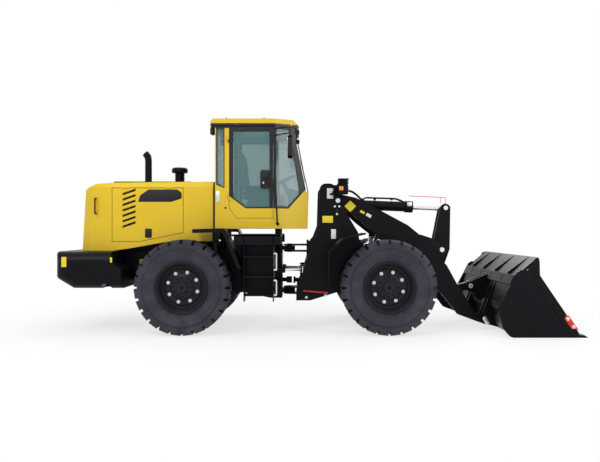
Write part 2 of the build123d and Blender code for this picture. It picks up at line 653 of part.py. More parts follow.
def bucket():
    """A general-purpose bucket: rolled back, side plates, spill guard, ears and cutting edge."""
    low_back = ((2590, 0, 110), (2484, 125, 110), (2410, 385, 90))
    shell = outline(
        (BUCKET_TIP_X, 0), (2680, 0, 130), (2560, 130, 160), (2500, 400, 120), (2653, 841), (2683, 826),
        (2532, 402, 90), (2588, 142, 130), (2692, 32, 100), (3590, 32),
    )
    back = across(shell, -BUCKET_HALF + 30, BUCKET_HALF - 30)
    side = outline(
        (2653, 841), (2666, 874, 30), (2718, 912, 30), (2924, 908), (2981, 835), (3496, 76), (3502, 25),
        (BUCKET_TIP_X, 0), *low_back,
    )
    strip = outline((2981, 835), (3496, 76), (3502, 25), (3400, 25), (2890, 773), (2930, 890))
    guard_end = outline((2815, 900), (2930, 1086, 20), (2975, 1035), (2981, 830), (2900, 830))
    cheeks = []
    for s in SIDES:
        cheeks.append(across(side, *mirrored_span(s, BUCKET_HALF - 34, BUCKET_HALF - 8)))
        cheeks.append(across(strip, *mirrored_span(s, BUCKET_HALF - 10, BUCKET_HALF)))
        cheeks.append(across(guard_end, *mirrored_span(s, BUCKET_HALF - 34, BUCKET_HALF - 8)))
    inside = BUCKET_HALF - 32
    beam = across(outline((2580, 716), (2640, 845), (2700, 826), (2660, 716)), -inside, inside)
    guard = across(outline((2646, 818), (2690, 812), (2985, 1055), (2958, 1085)), -inside, inside)
    rib = outline((2645, 815), (2658, 870, 20), (2945, 1078), (2700, 830))
    ribs = [across(rib, y - 12, y + 12) for y in (-885, -300, 300, 885)]
    ears = []
    for s in SIDES:
        ear = outline(
            (2640, 760), (2560, 640), (2388, 200, 60), (2400, 90, 60), (2520, 70, 60), (2700, 20),
            (2640, 300),
        )
        for low in (ARM_Y - 80, ARM_Y + 50):
            ears.append(across(ear, *mirrored_span(s, low, low + 30)))
        ears.append(cross_bar(BUCKET_PIN, 40, *mirrored_span(s, ARM_Y - 82, ARM_Y + 92)))
        upper = outline(
            (2640, 800), (2420, 700, 60), (2276, 640, 70), (2276, 530, 70), (2400, 490, 60), (2560, 300),
        )
        ears.append(across(upper, *mirrored_span(s, 55, 85)))
    ears.append(cross_bar(LINK_PIN, LINK_PIN_R, -108, 108))
    whole = cheeks[0] + [*cheeks[1:], back, beam, guard, *ribs]
    hollow = outline(
        (2700, 820), (2550, 405, 90), (2606, 155, 120), (2710, 40, 90), (3590, 40), (3400, 500), (2960, 900),
    )
    cavity = across(hollow, -inside, inside)
    return whole + [ear - cavity for ear in ears]


# ---- rams ---------------------------------------------------------------------------------------------
def ram(base, eye, closed, body_r, rod_r, eye_r, eye_half, pin_r, pin_axis):
    """A hydraulic ram between two pins: its barrel and its rod.

    closed is the distance from the base pin to the gland's face; pin_r is the base pin's radius.
    """
    start, end = Vector(*base), Vector(*eye)
    run = end - start
    span = run.length
    seat = Plane(origin=start, x_dir=pin_axis, z_dir=run)
    upright = (Align.CENTER, Align.CENTER, Align.MIN)
    body = Pos(0, 0, eye_r * 0.6) * Cylinder(body_r, closed - eye_r * 0.6, align=upright)
    gland = Pos(0, 0, closed - 120) * Cylinder(body_r * 1.18, 120, align=upright)
    foot = Rot(0, 90, 0) * Cylinder(eye_r, 2 * eye_half)
    bore = Pos(0, 0, eye_r + 30) * Cylinder(rod_r + 0.5, closed, align=upright)
    barrel = body + [gland, foot] - [bore, Rot(0, 90, 0) * Cylinder(pin_r + 0.06, 4 * eye_half)]
    inside = (closed - eye_r) * 0.45
    stem = Pos(0, 0, closed - inside) * Cylinder(rod_r, span - closed + inside - eye_r * 0.5, align=upright)
    head = Pos(0, 0, span) * Rot(0, 90, 0) * Cylinder(eye_r, 2 * eye_half)
    rod = stem + head
    return seat * barrel, seat * rod


def rams():
    """The tilt ram in the middle, two lift rams and two steering rams."""
    tilt = ram((TILT_BASE[0], 0, TILT_BASE[1]), (CRANK_TOP[0], 0, CRANK_TOP[1]),
               1100, 76, 42, 68, 48, TILT_PIN_R, (0, 1, 0))
    keep("tilt_barrel", tilt[0])
    keep("tilt_rod", tilt[1])
    for s, name in zip(SIDES, ("right", "left")):
        lift = ram((LIFT_BASE[0], s * LIFT_Y, LIFT_BASE[1]), (LIFT_EYE[0], s * LIFT_Y, LIFT_EYE[1]),
                   1040, 62, 35, 62, 34, LIFT_PIN_R, (0, 1, 0))
        keep(f"lift_barrel_{name}", lift[0])
        keep(f"lift_rod_{name}", lift[1])
        steer = ram((STEER_BASE[0], s * STEER_BASE[1], STEER_Z), (STEER_EYE[0], s * STEER_EYE[1], STEER_Z),
                    530, 40, 22, 40, 42, STEER_PIN_R, (0, 0, 1))
        keep(f"steer_barrel_{name}", steer[0])
        keep(f"steer_rod_{name}", steer[1])


# ---- the whole machine --------------------------------------------------------------------------------
def build():
    """Make every piece."""
    wheels()
    keep("rear_frame", rear_frame())
    keep("counterweight", counterweight())
    engine, radiator, gearbox = power_unit()
    keep("engine", engine)
    keep("radiator", radiator)
    keep("gearbox", gearbox)
    keep("hood", hood())
    for side, name in zip(SIDES, ("right", "left")):
        keep(f"hood_door_{name}", hood_door(side))
        keep(f"cab_door_{name}", door_frame(side))
        keep(f"door_glass_{name}", door_glass(side))
    keep("grille_door", grille_door())
    keep("exhaust", bar((EXHAUST_X, 0, 1780), (EXHAUST_X, 0, 2655), EXHAUST_R))
    keep("pre_cleaner", bar((CLEANER_X, 0, 2060), (CLEANER_X, 0, 2330), CLEANER_R),
         bar((CLEANER_X, 0, 2330), (CLEANER_X, 0, 2410), 122))
    keep("rear_axle", axle(REAR_AXLE_X, 1))
    pad_x = (FRONT_AXLE_X - 110, FRONT_AXLE_X + 110)
    pads = [block(pad_x, mirrored_span(s, 370, 450), (AXLE_Z, 775)) for s in SIDES]
    keep("front_axle", axle(FRONT_AXLE_X, -1), *pads)
    keep_apart("rear_fenders", [rear_fender(s) for s in SIDES])
    for side, name in zip(SIDES, ("right", "left")):
        keep(f"platform_{name}", *platform(side))
    keep("cab", cab_shell())
    keep("cab_roof", cab_roof())
    keep_apart("cab_glass", cab_glass())
    keep("seat", *seat())
    keep("steering_console", *steering_console())
    rear_shaft, front_shaft = drive_shafts()
    keep("rear_shaft", rear_shaft)
    keep("front_shaft", front_shaft)
    keep("front_frame", front_frame())
    keep_apart("front_fenders", [front_fender(s) for s in SIDES])
    keep("boom", boom())
    keep("bellcrank", bellcrank())
    keep("bucket_link", bucket_link())
    keep("bucket", bucket())
    rams()


os.makedirs("parts", exist_ok=True)
build()
for part_name, part in PARTS.items():
    export_step(part, f"parts/{part_name}.step")
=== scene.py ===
"""Looks of the articulated wheel loader: finishes, fittings, upholstery and the studio round it."""

from __future__ import annotations

import json
import logging
import math
from dataclasses import dataclass
from enum import Enum
from typing import Iterable, Sequence, Union

import bmesh
import bpy
from mathutils import Matrix, Vector


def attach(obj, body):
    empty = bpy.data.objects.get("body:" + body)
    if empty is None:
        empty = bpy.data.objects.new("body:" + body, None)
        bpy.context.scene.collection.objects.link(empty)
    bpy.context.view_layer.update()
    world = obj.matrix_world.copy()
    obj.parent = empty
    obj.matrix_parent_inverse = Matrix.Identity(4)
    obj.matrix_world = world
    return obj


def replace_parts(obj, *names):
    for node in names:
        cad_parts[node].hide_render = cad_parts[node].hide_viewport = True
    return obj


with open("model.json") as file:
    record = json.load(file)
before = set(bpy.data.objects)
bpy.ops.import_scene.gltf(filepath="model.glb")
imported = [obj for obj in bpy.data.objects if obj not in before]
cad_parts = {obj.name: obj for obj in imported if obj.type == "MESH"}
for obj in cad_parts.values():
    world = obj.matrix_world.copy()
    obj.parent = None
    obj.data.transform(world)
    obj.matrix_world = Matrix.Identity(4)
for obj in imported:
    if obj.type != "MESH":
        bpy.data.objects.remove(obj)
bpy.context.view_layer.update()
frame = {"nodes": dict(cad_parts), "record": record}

LOG = logging.getLogger("loader")
Number = Union[int, float]
Point = tuple[float, float, float]
Spot = tuple[float, float]
Outline = Sequence[Spot]
Colour = tuple[float, float, float]
Ring = list[bmesh.types.BMVert]
UP: Point = (0.0, 0.0, 1.0)
SINK = 0.001  # how deep a fitting's foot sits in the plate below it
SIDES: tuple[tuple[int, str], ...] = ((-1, "right"), (1, "left"))
ENDS: tuple[str, ...] = ("front", "rear")
RAYS: tuple[str, ...] = ("Camera", "Glossy", "Transmission")  # the rays that see the studio as white
WHITE = (1.0, 1.0, 1.0, 1.0)


# ---- shader expressions --------------------------------------------------------------------------------
class Value:
    """A number that varies over a surface, written with ordinary arithmetic."""

    def __init__(self, tree: "Shader", socket: bpy.types.NodeSocket) -> None:
        """Wrap an output socket of a shader's tree."""
        self.tree = tree
        self.socket = socket

    def _math(self, operation: str, first: "Term", second: "Term" = 0.0, clamp: bool = False) -> "Value":
        """Add a Math node on two terms."""
        settings = {"operation": operation, "use_clamp": clamp}
        return self.tree.value("ShaderNodeMath", settings, {0: first, 1: second})

    def __add__(self, other: "Term") -> "Value":
        """Sum."""
        return self._math("ADD", self, other)

    def __radd__(self, other: "Term") -> "Value":
        """Sum, reflected."""
        return self._math("ADD", other, self)

    def __sub__(self, other: "Term") -> "Value":
        """Difference."""
        return self._math("SUBTRACT", self, other)

    def __rsub__(self, other: "Term") -> "Value":
        """Difference, reflected."""
        return self._math("SUBTRACT", other, self)

    def __mul__(self, other: "Term") -> "Value":
        """Product."""
        return self._math("MULTIPLY", self, other)

    def __rmul__(self, other: "Term") -> "Value":
        """Product, reflected."""
        return self._math("MULTIPLY", other, self)

    def above(self, edge: float, soft: float) -> "Value":
        """Rise from 0 to 1 over a soft band that starts at an edge."""
        return self._math("MULTIPLY", self._math("SUBTRACT", self, edge), 1.0 / soft, clamp=True)

    def below(self, edge: float, soft: float) -> "Value":
        """Fall from 1 to 0 over a soft band that ends at an edge."""
        return self._math("MULTIPLY", self._math("SUBTRACT", edge, self), 1.0 / soft, clamp=True)

    def positive(self) -> "Value":
        """The value where it is above zero, and zero elsewhere."""
        return self._math("MAXIMUM", self, 0.0)

    def either(self, other: "Term") -> "Value":
        """The greater of two values."""
        return self._math("MAXIMUM", self, other)

    def wave(self) -> "Value":
        """Sine of the value."""
        return self._math("SINE", self)

    def size(self) -> "Value":
        """The value without its sign."""
        return self._math("ABSOLUTE", self)


Term = Union[Value, Number]


class Shader:
    """A material or a world under construction, with one method that adds any node."""

    def __init__(self, name: str, world: bool = False) -> None:
        """Start an empty material or world of a name."""
        self.material = (bpy.data.worlds if world else bpy.data.materials).new(name)
        self.material.use_nodes = True
        self.nodes = self.material.node_tree.nodes
        self.nodes.clear()

    def node(self, kind: str, settings: dict | None = None, inputs: dict | None = None) -> bpy.types.Node:
        """Add a node.

        Args:
            kind: the node's type.
            settings: attributes, set before the inputs.
            inputs: values, links or wrapped values by socket name or number.

        Returns:
            The new node.
        """
        made = self.nodes.new(kind)
        for key, setting in (settings or {}).items():
            setattr(made, key, setting)
        for key, given in (inputs or {}).items():
            socket = made.inputs[key]
            given = given.socket if isinstance(given, Value) else given
            if isinstance(given, bpy.types.NodeSocket):
                self.material.node_tree.links.new(given, socket)
            else:
                socket.default_value = given
        return made

    def value(
        self, kind: str, settings: dict | None = None, inputs: dict | None = None, out: int | str = 0
    ) -> Value:
        """Add a node and wrap one of its outputs."""
        return Value(self, self.node(kind, settings, inputs).outputs[out])

    def place(self) -> bpy.types.NodeSocket:
        """The point on the surface in metres, in the piece's own frame."""
        return self.node("ShaderNodeTexCoord").outputs["Object"]

    def axis(self, letter: str) -> Value:
        """One coordinate of the surface point."""
        return self.value("ShaderNodeSeparateXYZ", None, {0: self.place()}, letter)

    def noise(self, scale: float, detail: float = 3.0, roughness: float = 0.5) -> Value:
        """Smooth noise from 0 to 1, its scale in features to the metre."""
        inputs = {"Vector": self.place(), "Scale": scale, "Detail": detail, "Roughness": roughness}
        return self.value("ShaderNodeTexNoise", None, inputs, "Fac")

    def seen(self) -> Value:
        """The value 1 on the rays that see the studio as white, and 0 on others."""
        camera, glossy, through = (self.value("ShaderNodeLightPath", out=f"Is {kind} Ray") for kind in RAYS)
        return camera.either(glossy).either(through)

    def mix(self, amount: Term, low: Sequence[float], high: Sequence[float]) -> bpy.types.NodeSocket:
        """Blend two colours by an amount."""
        made = self.node("ShaderNodeMix", {"data_type": "RGBA"}, {"Factor": amount})
        for socket, colour in zip(made.inputs[6:8], (low, high)):
            if isinstance(colour, bpy.types.NodeSocket):
                self.material.node_tree.links.new(colour, socket)
            else:
                socket.default_value = (*colour[:3], 1.0)
        return made.outputs[2]

    def bump(self, height: Term, depth: float, rounded: float = 0.0) -> bpy.types.NodeSocket:
        """A surface normal from a height in units of depth metres, with edges rounded by a radius."""
        inputs: dict = {"Height": height, "Distance": depth, "Strength": 1.0}
        if rounded:
            inputs["Normal"] = self.node("ShaderNodeBevel", {"samples": 4}, {"Radius": rounded}).outputs[0]
        return self.node("ShaderNodeBump", None, inputs).outputs[0]

    def finish(self, **sockets: object) -> bpy.types.Material:
        """Close the material with a Principled shader.

        Args:
            sockets: the shader's inputs, with spaces written as underscores.

        Returns:
            The material.
        """
        inputs = {name.replace("_", " "): given for name, given in sockets.items()}
        shader = self.node("ShaderNodeBsdfPrincipled", None, inputs)
        self.node("ShaderNodeOutputMaterial", None, {"Surface": shader.outputs[0]})
        return self.material


# ---- finishes ------------------------------------------------------------------------------------------
@dataclass(frozen=True)
class Coating:
    """What every finish has: a name and a main colour."""

    name: str
    colour: Colour

    def shade(self, factor: float) -> Colour:
        """The main colour, darker or lighter."""
        return tuple(min(1.0, channel * factor) for channel in self.colour)


@dataclass(frozen=True)
class Paint(Coating):
    """Sprayed machine enamel with orange peel, faint mottling and settled dust."""

    roughness: float = 0.32
    coat: float = 0.1
    mottle: float = 0.1
    peel: float = 0.0006
    edge: float = 0.006
    gloss: float = 0.28
    dust: float = 0.1

    def enamel(self, shader: Shader, cloud: Value) -> bpy.types.NodeSocket:
        """The enamel's own colour, mottled by a cloud."""
        return shader.mix(cloud, self.shade(1.0 - self.mottle), self.shade(1.0 + self.mottle))

    def material(self) -> bpy.types.Material:
        """Build the enamel."""
        shader = Shader(self.name)
        cloud = shader.noise(1.6, 4.0)
        tone = self.enamel(shader, cloud)
        dust = shader.noise(9.0, 5.0).above(0.56, 0.3) * self.dust
        colour = shader.mix(dust, tone, tuple(0.5 * channel + 0.1 for channel in self.colour))
        peel = shader.bump(shader.noise(55.0, 2.0), self.peel, rounded=self.edge)
        rough = self.roughness + (cloud - 0.5) * 0.12 + dust
        return shader.finish(
            Base_Color=colour, Roughness=rough, Metallic=0.0, Coat_Weight=self.coat, Coat_Roughness=0.12,
            Specular_IOR_Level=self.gloss, Normal=peel
        )


class Zone(Enum):
    """Where the black of a two-tone pressing lies."""

    CAB = "cab"
    DOOR = "door"
    ROOF = "roof"


@dataclass(frozen=True)
class TwoTone(Paint):
    """Yellow enamel with the black frames round the cab's glass, and painted shade: the cab's inner faces
    black.
    """

    zone: Zone = Zone.CAB
    second: Colour = (0.008, 0.008, 0.011)

    def black(self, shader: Shader) -> Value:
        """Rise to 1 where the pressing is black, the cab's inner faces included as painted shade."""
        x, z = shader.axis("X"), shader.axis("Z")
        if self.zone is Zone.ROOF:
            return z.below(2.975, 0.003)
        belt = z - 1.758 - (-1.03 - x).positive() * 0.764 - (x + 0.418).positive() * 1.143
        frame_black = belt.above(0.0, 0.004)
        if self.zone is Zone.DOOR:
            return frame_black
        # Painted shade: the cab's inner faces, within |y| < 0.688 and between x -1.45 and -0.62, turn black
        # to stand for the shade inside the cab.
        inside = shader.axis("Y").size().below(0.688, 0.004)
        inside = inside * (x + 1.45).above(0.0, 0.004) * x.below(-0.62, 0.004)
        return (frame_black * x.above(-1.266, 0.004)).either(z.above(2.905, 0.004)).either(inside)

    def enamel(self, shader: Shader, cloud: Value) -> bpy.types.NodeSocket:
        """The yellow, and the black of the zone over it."""
        return shader.mix(self.black(shader), Paint.enamel(self, shader, cloud), self.second)


@dataclass(frozen=True)
class Mesh(Coating):
    """Woven wire cloth seen close to."""

    def material(self) -> bpy.types.Material:
        """Build the wire cloth."""
        shader = Shader(self.name)
        wires = (shader.axis("X") * 900.0).wave().size() * (shader.axis("Z") * 900.0).wave().size()
        colour = shader.mix(wires.above(0.1, 0.3), self.colour, (0.002, 0.002, 0.002))
        return shader.finish(Base_Color=colour, Roughness=0.6, Normal=shader.bump(wires, 0.001))


@dataclass(frozen=True)
class Rubber(Coating):
    """Tyre rubber with dust in its texture."""

    dust: Colour
    roughness: float = 0.72

    def material(self) -> bpy.types.Material:
        """Build the rubber."""
        shader = Shader(self.name)
        fine = shader.noise(140.0, 4.0, 0.65)
        patch = shader.noise(5.0, 5.0, 0.6)
        colour = shader.mix(patch.above(0.42, 0.4) * 0.55, self.colour, self.dust)
        skin = shader.bump(fine, 0.0016, rounded=0.008)
        return shader.finish(
            Base_Color=colour, Roughness=self.roughness - patch * 0.12, Specular_IOR_Level=0.2, Normal=skin
        )


@dataclass(frozen=True)
class BareMetal(Coating):
    """Polished, plated or cast metal."""

    roughness: float = 0.18
    metallic: float = 1.0
    grain: float = 0.0004

    def material(self) -> bpy.types.Material:
        """Build the metal."""
        shader = Shader(self.name)
        smear = shader.noise(18.0, 4.0)
        colour = shader.mix(smear, self.shade(0.86), self.colour)
        skin = shader.bump(shader.noise(240.0, 2.0), self.grain, rounded=0.003)
        return shader.finish(
            Base_Color=colour, Roughness=self.roughness + smear * 0.14, Metallic=self.metallic, Normal=skin
        )


@dataclass(frozen=True)
class Plastic(Coating):
    """Moulded plastic or a rubber moulding with a pebbled skin."""

    roughness: float = 0.5
    coat: float = 0.0
    pebble: float = 0.0005

    def material(self) -> bpy.types.Material:
        """Build the plastic."""
        shader = Shader(self.name)
        cells = shader.noise(320.0, 2.0)
        tone = shader.mix(shader.noise(6.0), self.shade(0.85), self.colour)
        return shader.finish(
            Base_Color=tone, Roughness=self.roughness + cells * 0.1, Coat_Weight=self.coat,
            Specular_IOR_Level=0.2, Normal=shader.bump(cells, self.pebble, rounded=0.003),
        )


@dataclass(frozen=True)
class Glazing(Coating):
    """Tinted safety glass."""

    alpha: float = 0.3

    def material(self) -> bpy.types.Material:
        """Build the glass: a clear coat over a thin tint that lets light through."""
        shader = Shader(self.name)
        haze = shader.noise(2.2, 3.0)
        material = shader.finish(
            Base_Color=shader.mix(haze, self.colour, self.shade(1.15)),
            Roughness=0.03 + haze * 0.03, Alpha=self.alpha + (haze - 0.5) * 0.06, IOR=1.5,
            Coat_Weight=0.6, Coat_Roughness=0.02,
        )
        material.surface_render_method = "BLENDED"
        return material


@dataclass(frozen=True)
class Cloth(Coating):
    """Woven seat cloth."""

    thread: Colour

    def material(self) -> bpy.types.Material:
        """Build the weave."""
        shader = Shader(self.name)
        threads = [(shader.axis(letter) * 900.0).wave() for letter in ("X", "Y", "Z")]
        weave = threads[0] * threads[1] + threads[1] * threads[2] + threads[0] * threads[2]
        colour = shader.mix(weave.above(-0.4, 1.2), self.colour, self.thread)
        return shader.finish(
            Base_Color=colour, Roughness=0.86, Normal=shader.bump(weave, 0.0009), Sheen_Weight=0.25
        )


@dataclass(frozen=True)
class Lens(Coating):
    """A moulded lamp lens with prism ribs behind a glossy face."""

    ribs: float = 260.0

    def material(self) -> bpy.types.Material:
        """Build the lens."""
        shader = Shader(self.name)
        ribs = (shader.axis("Y") * self.ribs).wave() + (shader.axis("Z") * self.ribs).wave()
        colour = shader.mix(ribs.above(-1.0, 2.0), self.shade(0.7), self.colour)
        return shader.finish(
            Base_Color=colour, Roughness=0.12, Coat_Weight=1.0, Coat_Roughness=0.03,
            Normal=shader.bump(ribs, 0.0006),
        )


LOADER_YELLOW = (0.68, 0.455, 0.017)


class Finish(Enum):
    """Every finish on the machine."""

    YELLOW = Paint("yellow_enamel", LOADER_YELLOW)
    CAB = TwoTone("cab_enamel", LOADER_YELLOW, zone=Zone.CAB)
    DOOR = TwoTone("door_enamel", LOADER_YELLOW, zone=Zone.DOOR)
    ROOF = TwoTone("roof_enamel", LOADER_YELLOW, zone=Zone.ROOF)
    BLACK = Paint("black_enamel", (0.004, 0.004, 0.006), roughness=0.36, coat=0.0, gloss=0.1, dust=0.012)
    IRON = Paint(
        "painted_casting", (0.01, 0.01, 0.013), roughness=0.5, coat=0.0, peel=0.0016, gloss=0.14, dust=0.03
    )
    RIM = Paint("rim_enamel", (0.016, 0.016, 0.02), roughness=0.34, coat=0.0, gloss=0.12, dust=0.02)
    MESH = Mesh("louvre_mesh", (0.02, 0.02, 0.022))
    RED = Paint("red_enamel", (0.55, 0.02, 0.012))
    TYRE = Rubber("tyre_rubber", (0.028, 0.028, 0.038), (0.075, 0.073, 0.088))
    CHROME = BareMetal("chromed_rod", (0.86, 0.87, 0.9), roughness=0.08)
    ZINC = BareMetal("zinc_plate", (0.72, 0.74, 0.76), roughness=0.3)
    GLASS = Glazing("tinted_glass", (0.09, 0.21, 0.215), alpha=0.45)
    TRIM = Plastic("black_moulding", (0.016, 0.016, 0.018))
    HOSE = Plastic("hose_cover", (0.02, 0.02, 0.024), roughness=0.42, coat=0.2)
    DASH = Plastic("dash_moulding", (0.05, 0.05, 0.055))
    SEAT = Cloth("seat_cloth", (0.16, 0.15, 0.13), (0.3, 0.285, 0.25))
    LABEL_YELLOW = Plastic("yellow_plate", (0.8, 0.62, 0.02), roughness=0.35, coat=0.3)
    LABEL_WHITE = Plastic("white_plate", (0.75, 0.75, 0.74), roughness=0.35, coat=0.3)
    LENS_RED = Lens("red_lens", (0.5, 0.02, 0.012))
    LENS_AMBER = Lens("amber_lens", (0.85, 0.28, 0.01))
    LENS_CLEAR = Lens("clear_lens", (0.7, 0.72, 0.74))

    def get(self) -> bpy.types.Material:
        """The finish's material, made when first asked for."""
        return bpy.data.materials.get(self.value.name) or self.value.material()


SLOT_FINISH: dict[str, Finish] = {
    "yellow_paint": Finish.YELLOW,
    "black_paint": Finish.BLACK,
    "dark_iron": Finish.IRON,
    "tyre": Finish.TYRE,
    "glass": Finish.GLASS,
    "seat_cloth": Finish.SEAT,
    "dash_plastic": Finish.DASH,
    "chrome_rod": Finish.CHROME,
    "lamp": Finish.LENS_RED,
}
NODE_FINISH: dict[str, Finish] = {"cab": Finish.CAB, "cab_roof": Finish.ROOF} | {
    f"cab_door_{name}": Finish.DOOR for _, name in SIDES} | {
    f"rim_{end}_{name}": Finish.RIM for end in ENDS for _, name in SIDES}


def dress_frame() -> None:
    """Give every carried-over node the finish of its record slot."""
    for part in frame["record"]["subparts"]:
        node = frame["nodes"][part["node"]]
        finish = NODE_FINISH.get(part["node"]) or SLOT_FINISH.get(part["material_slot"], Finish.BLACK)
        slots = node.data.materials
        if not slots:
            slots.append(finish.get())
        for index in range(len(slots)):
            slots[index] = finish.get()


# ---- mesh building -------------------------------------------------------------------------------------
SMOOTH_BELOW = 32.0


class Shape:
    """A mesh under construction from turned, extruded and swept forms, all in metres."""

    def __init__(self) -> None:
        """Start empty."""
        self.mesh = bmesh.new()

    def _bridge(self, low: Ring, high: Ring) -> list[bmesh.types.BMFace]:
        """Join two rings of vertices by faces, where one of them may be a lone point."""
        count = max(len(low), len(high))
        faces = []
        for step in range(count):
            after = (step + 1) % count
            if len(low) == 1:
                corners = (low[0], high[step], high[after])
            elif len(high) == 1:
                corners = (low[step], high[0], low[after])
            else:
                corners = (low[step], low[after], high[after], high[step])
            faces.append(self.mesh.faces.new(corners))
        return faces

    def lathe(self, profile: Outline, origin: Point, axis: Point, segments: int = 32) -> "Shape":
        """Turn a profile about an axis.

        Args:
            profile: (distance along the axis, radius) pairs, closed where the last repeats the first.
            origin: the point the distances start from.
            axis: the direction they run in.
            segments: sides of the turned form.

        Returns:
            The shape, for the next call.
        """
        turn = Vector(axis).normalized().to_track_quat("Z", "Y").to_matrix().to_4x4()
        closed = profile[0] == profile[-1]
        rings: list[Ring] = []
        for along, radius in profile[:-1] if closed else profile:
            if radius < 1e-6:
                rings.append([self.mesh.verts.new((0.0, 0.0, along))])
                continue
            rings.append([self.mesh.verts.new((a, b, along)) for a, b in ring_of(segments, radius)])
        pairs = list(zip(rings, rings[1:])) + ([(rings[-1], rings[0])] if closed else [])
        for low, high in pairs:
            self._bridge(low, high)
        for ring, flip in ((rings[0], True), (rings[-1], False)):
            if len(ring) > 1 and not closed:
                self.mesh.faces.new(list(reversed(ring)) if flip else ring)
        matrix = Matrix.Translation(origin) @ turn
        bmesh.ops.transform(self.mesh, matrix=matrix, verts=[vert for ring in rings for vert in ring])
        return self

    def pin(self, origin: Point, axis: Point, radius: float, height: float, bevel: float = 0.002) -> "Shape":
        """A round cap with bevelled edges, standing from a point along an axis."""
        profile = [(0.0, radius), (height - bevel, radius), (height, radius - bevel), (height, 0.0)]
        return self.lathe([(0.0, 0.0), *profile], origin, axis, 24)

    def bolt(self, origin: Point, axis: Point, across: float) -> "Shape":
        """A hexagon bolt head on its washer."""
        head = across * 0.58
        rim, thick = across * 0.95, across * 0.14
        self.lathe([(0.0, 0.0), (0.0, rim), (thick, rim), (thick, 0.0)], origin, axis, 18)
        foot, chamfer, crown = across * 0.1, across * 0.62, across * 0.74
        profile = [(foot, 0.0), (foot, head), (chamfer, head), (crown, head * 0.84), (crown, 0.0)]
        return self.lathe(profile, origin, axis, 6)

    def slab(
        self, outline: Outline, origin: Point, right: Point, up: Point, depth: float, bevel: float = 0.0
    ) -> "Shape":
        """Extrude an outline drawn on two directions, with its edges bevelled.

        Args:
            outline: corners as distances along right and up.
            origin: where the outline's zero lies.
            right: the outline's first direction.
            up: its second direction.
            depth: thickness along right x up.
            bevel: the width of the bevel along its edges.

        Returns:
            The shape, for the next call.
        """
        across, rise = Vector(right).normalized(), Vector(up).normalized()
        normal = across.cross(rise).normalized()
        base = [self.mesh.verts.new(Vector(origin) + across * a + rise * b) for a, b in outline]
        top = [self.mesh.verts.new(vert.co + normal * depth) for vert in base]
        faces = [self.mesh.faces.new(list(reversed(base))), self.mesh.faces.new(top)]
        faces += self._bridge(base, top)
        if bevel > 0.0:
            edges = list(dict.fromkeys(edge for face in faces for edge in face.edges))
            bmesh.ops.bevel(self.mesh, geom=edges, offset=bevel, segments=2, affect="EDGES", profile=0.5)
        return self

    def side_slab(
        self, outline: Outline, centre: Spot, y: float, side: int, depth: float, bevel: float = 0.0
    ) -> "Shape":
        """Extrude an outline in x and z outwards from a side of the machine.

        Args:
            outline: corners as distances in x and z from the centre.
            centre: where the outline's zero lies in x and z.
            y: where its inner face lies across the machine.
            side: -1 for the right side, 1 for the left.
            depth: thickness outwards.
            bevel: the width of the bevel along its edges.

        Returns:
            The shape, for the next call.
        """
        mirrored = [(-side * x, z) for x, z in outline]
        return self.slab(mirrored, (centre[0], y, centre[1]), (-side, 0, 0), UP, depth, bevel)

    def plate(self, centre: Point, size: Point, bevel: float = 0.002) -> "Shape":
        """A bevelled block square to the machine."""
        x, y, z = size
        corners = [(-x / 2, -z / 2), (x / 2, -z / 2), (x / 2, z / 2), (-x / 2, z / 2)]
        origin = (centre[0], centre[1] + y / 2, centre[2])
        return self.slab(corners, origin, (1, 0, 0), UP, y, bevel)

    def _hoop(self, centre: Vector, side: Vector, up: Vector, radius: float, segments: int) -> Ring:
        """A ring of vertices about a point, in the plane of two directions."""
        spots = ring_of(segments, 1.0)
        return [self.mesh.verts.new(centre + (side * a + up * b) * radius) for a, b in spots]

    def tube(
        self, points: Sequence[Point], radius: float, segments: int = 10, soften: int = 4, bore: float = 0.0
    ) -> "Shape":
        """Sweep a round bar along points, its corners eased.

        Args:
            points: the bar's corners.
            radius: the bar's radius.
            segments: sides of the bar.
            soften: steps in each eased corner.
            bore: radius of a mouth sunk into the last end, or nothing for a closed end.

        Returns:
            The shape, for the next call.
        """
        path = [Vector(point) for point in points]
        eased = [path[0]]
        for before, corner, after in zip(path, path[1:], path[2:]):
            reach = min((corner - before).length, (after - corner).length) * 0.38
            start = corner + (before - corner).normalized() * reach
            end = corner + (after - corner).normalized() * reach
            for step in range(soften + 1):
                t = step / soften
                eased.append(start * (1 - t) ** 2 + corner * 2 * t * (1 - t) + end * t**2)
        eased.append(path[-1])
        rings = []
        side = (path[1] - path[0]).normalized().orthogonal().normalized()
        for index, point in enumerate(eased):
            ahead = eased[min(index + 1, len(eased) - 1)] - eased[max(index - 1, 0)]
            ahead.normalize()
            side = (side - ahead * side.dot(ahead)).normalized()
            up = ahead.cross(side)
            rings.append(self._hoop(point, side, up, radius, segments))
        if bore > 0.0:
            rings.append(self._hoop(eased[-1], side, up, bore, segments))
            rings.append(self._hoop(eased[-1] - ahead * bore * 2.0, side, up, bore, segments))
        for low, high in zip(rings, rings[1:]):
            self._bridge(low, high)
        self.mesh.faces.new(list(reversed(rings[0])))
        self.mesh.faces.new(rings[-1])
        return self

    def done(self, name: str, finish: Finish, body: str, slot: str | None = None) -> bpy.types.Object:
        """Turn the shape into a finished piece that rides on a body.

        Args:
            name: the piece's name.
            finish: its finish.
            body: the body that carries it.
            slot: the record's material slot, where one fits; not used.

        Returns:
            The piece.
        """
        bmesh.ops.recalc_face_normals(self.mesh, faces=self.mesh.faces)
        mesh = bpy.data.meshes.new(name)
        self.mesh.to_mesh(mesh)
        self.mesh.free()
        mesh.materials.append(finish.get())
        piece = linked(name, mesh)
        mesh.shade_smooth()
        mesh.set_sharp_from_angle(angle=math.radians(SMOOTH_BELOW))
        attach(piece, body)
        LOG.info("piece %s on %s: %d faces", name, body, len(mesh.polygons))
        return piece


def linked(name: str, data: bpy.types.ID) -> bpy.types.Object:
    """A new object of some data, put in the scene."""
    made = bpy.data.objects.new(name, data)
    bpy.context.collection.objects.link(made)
    return made


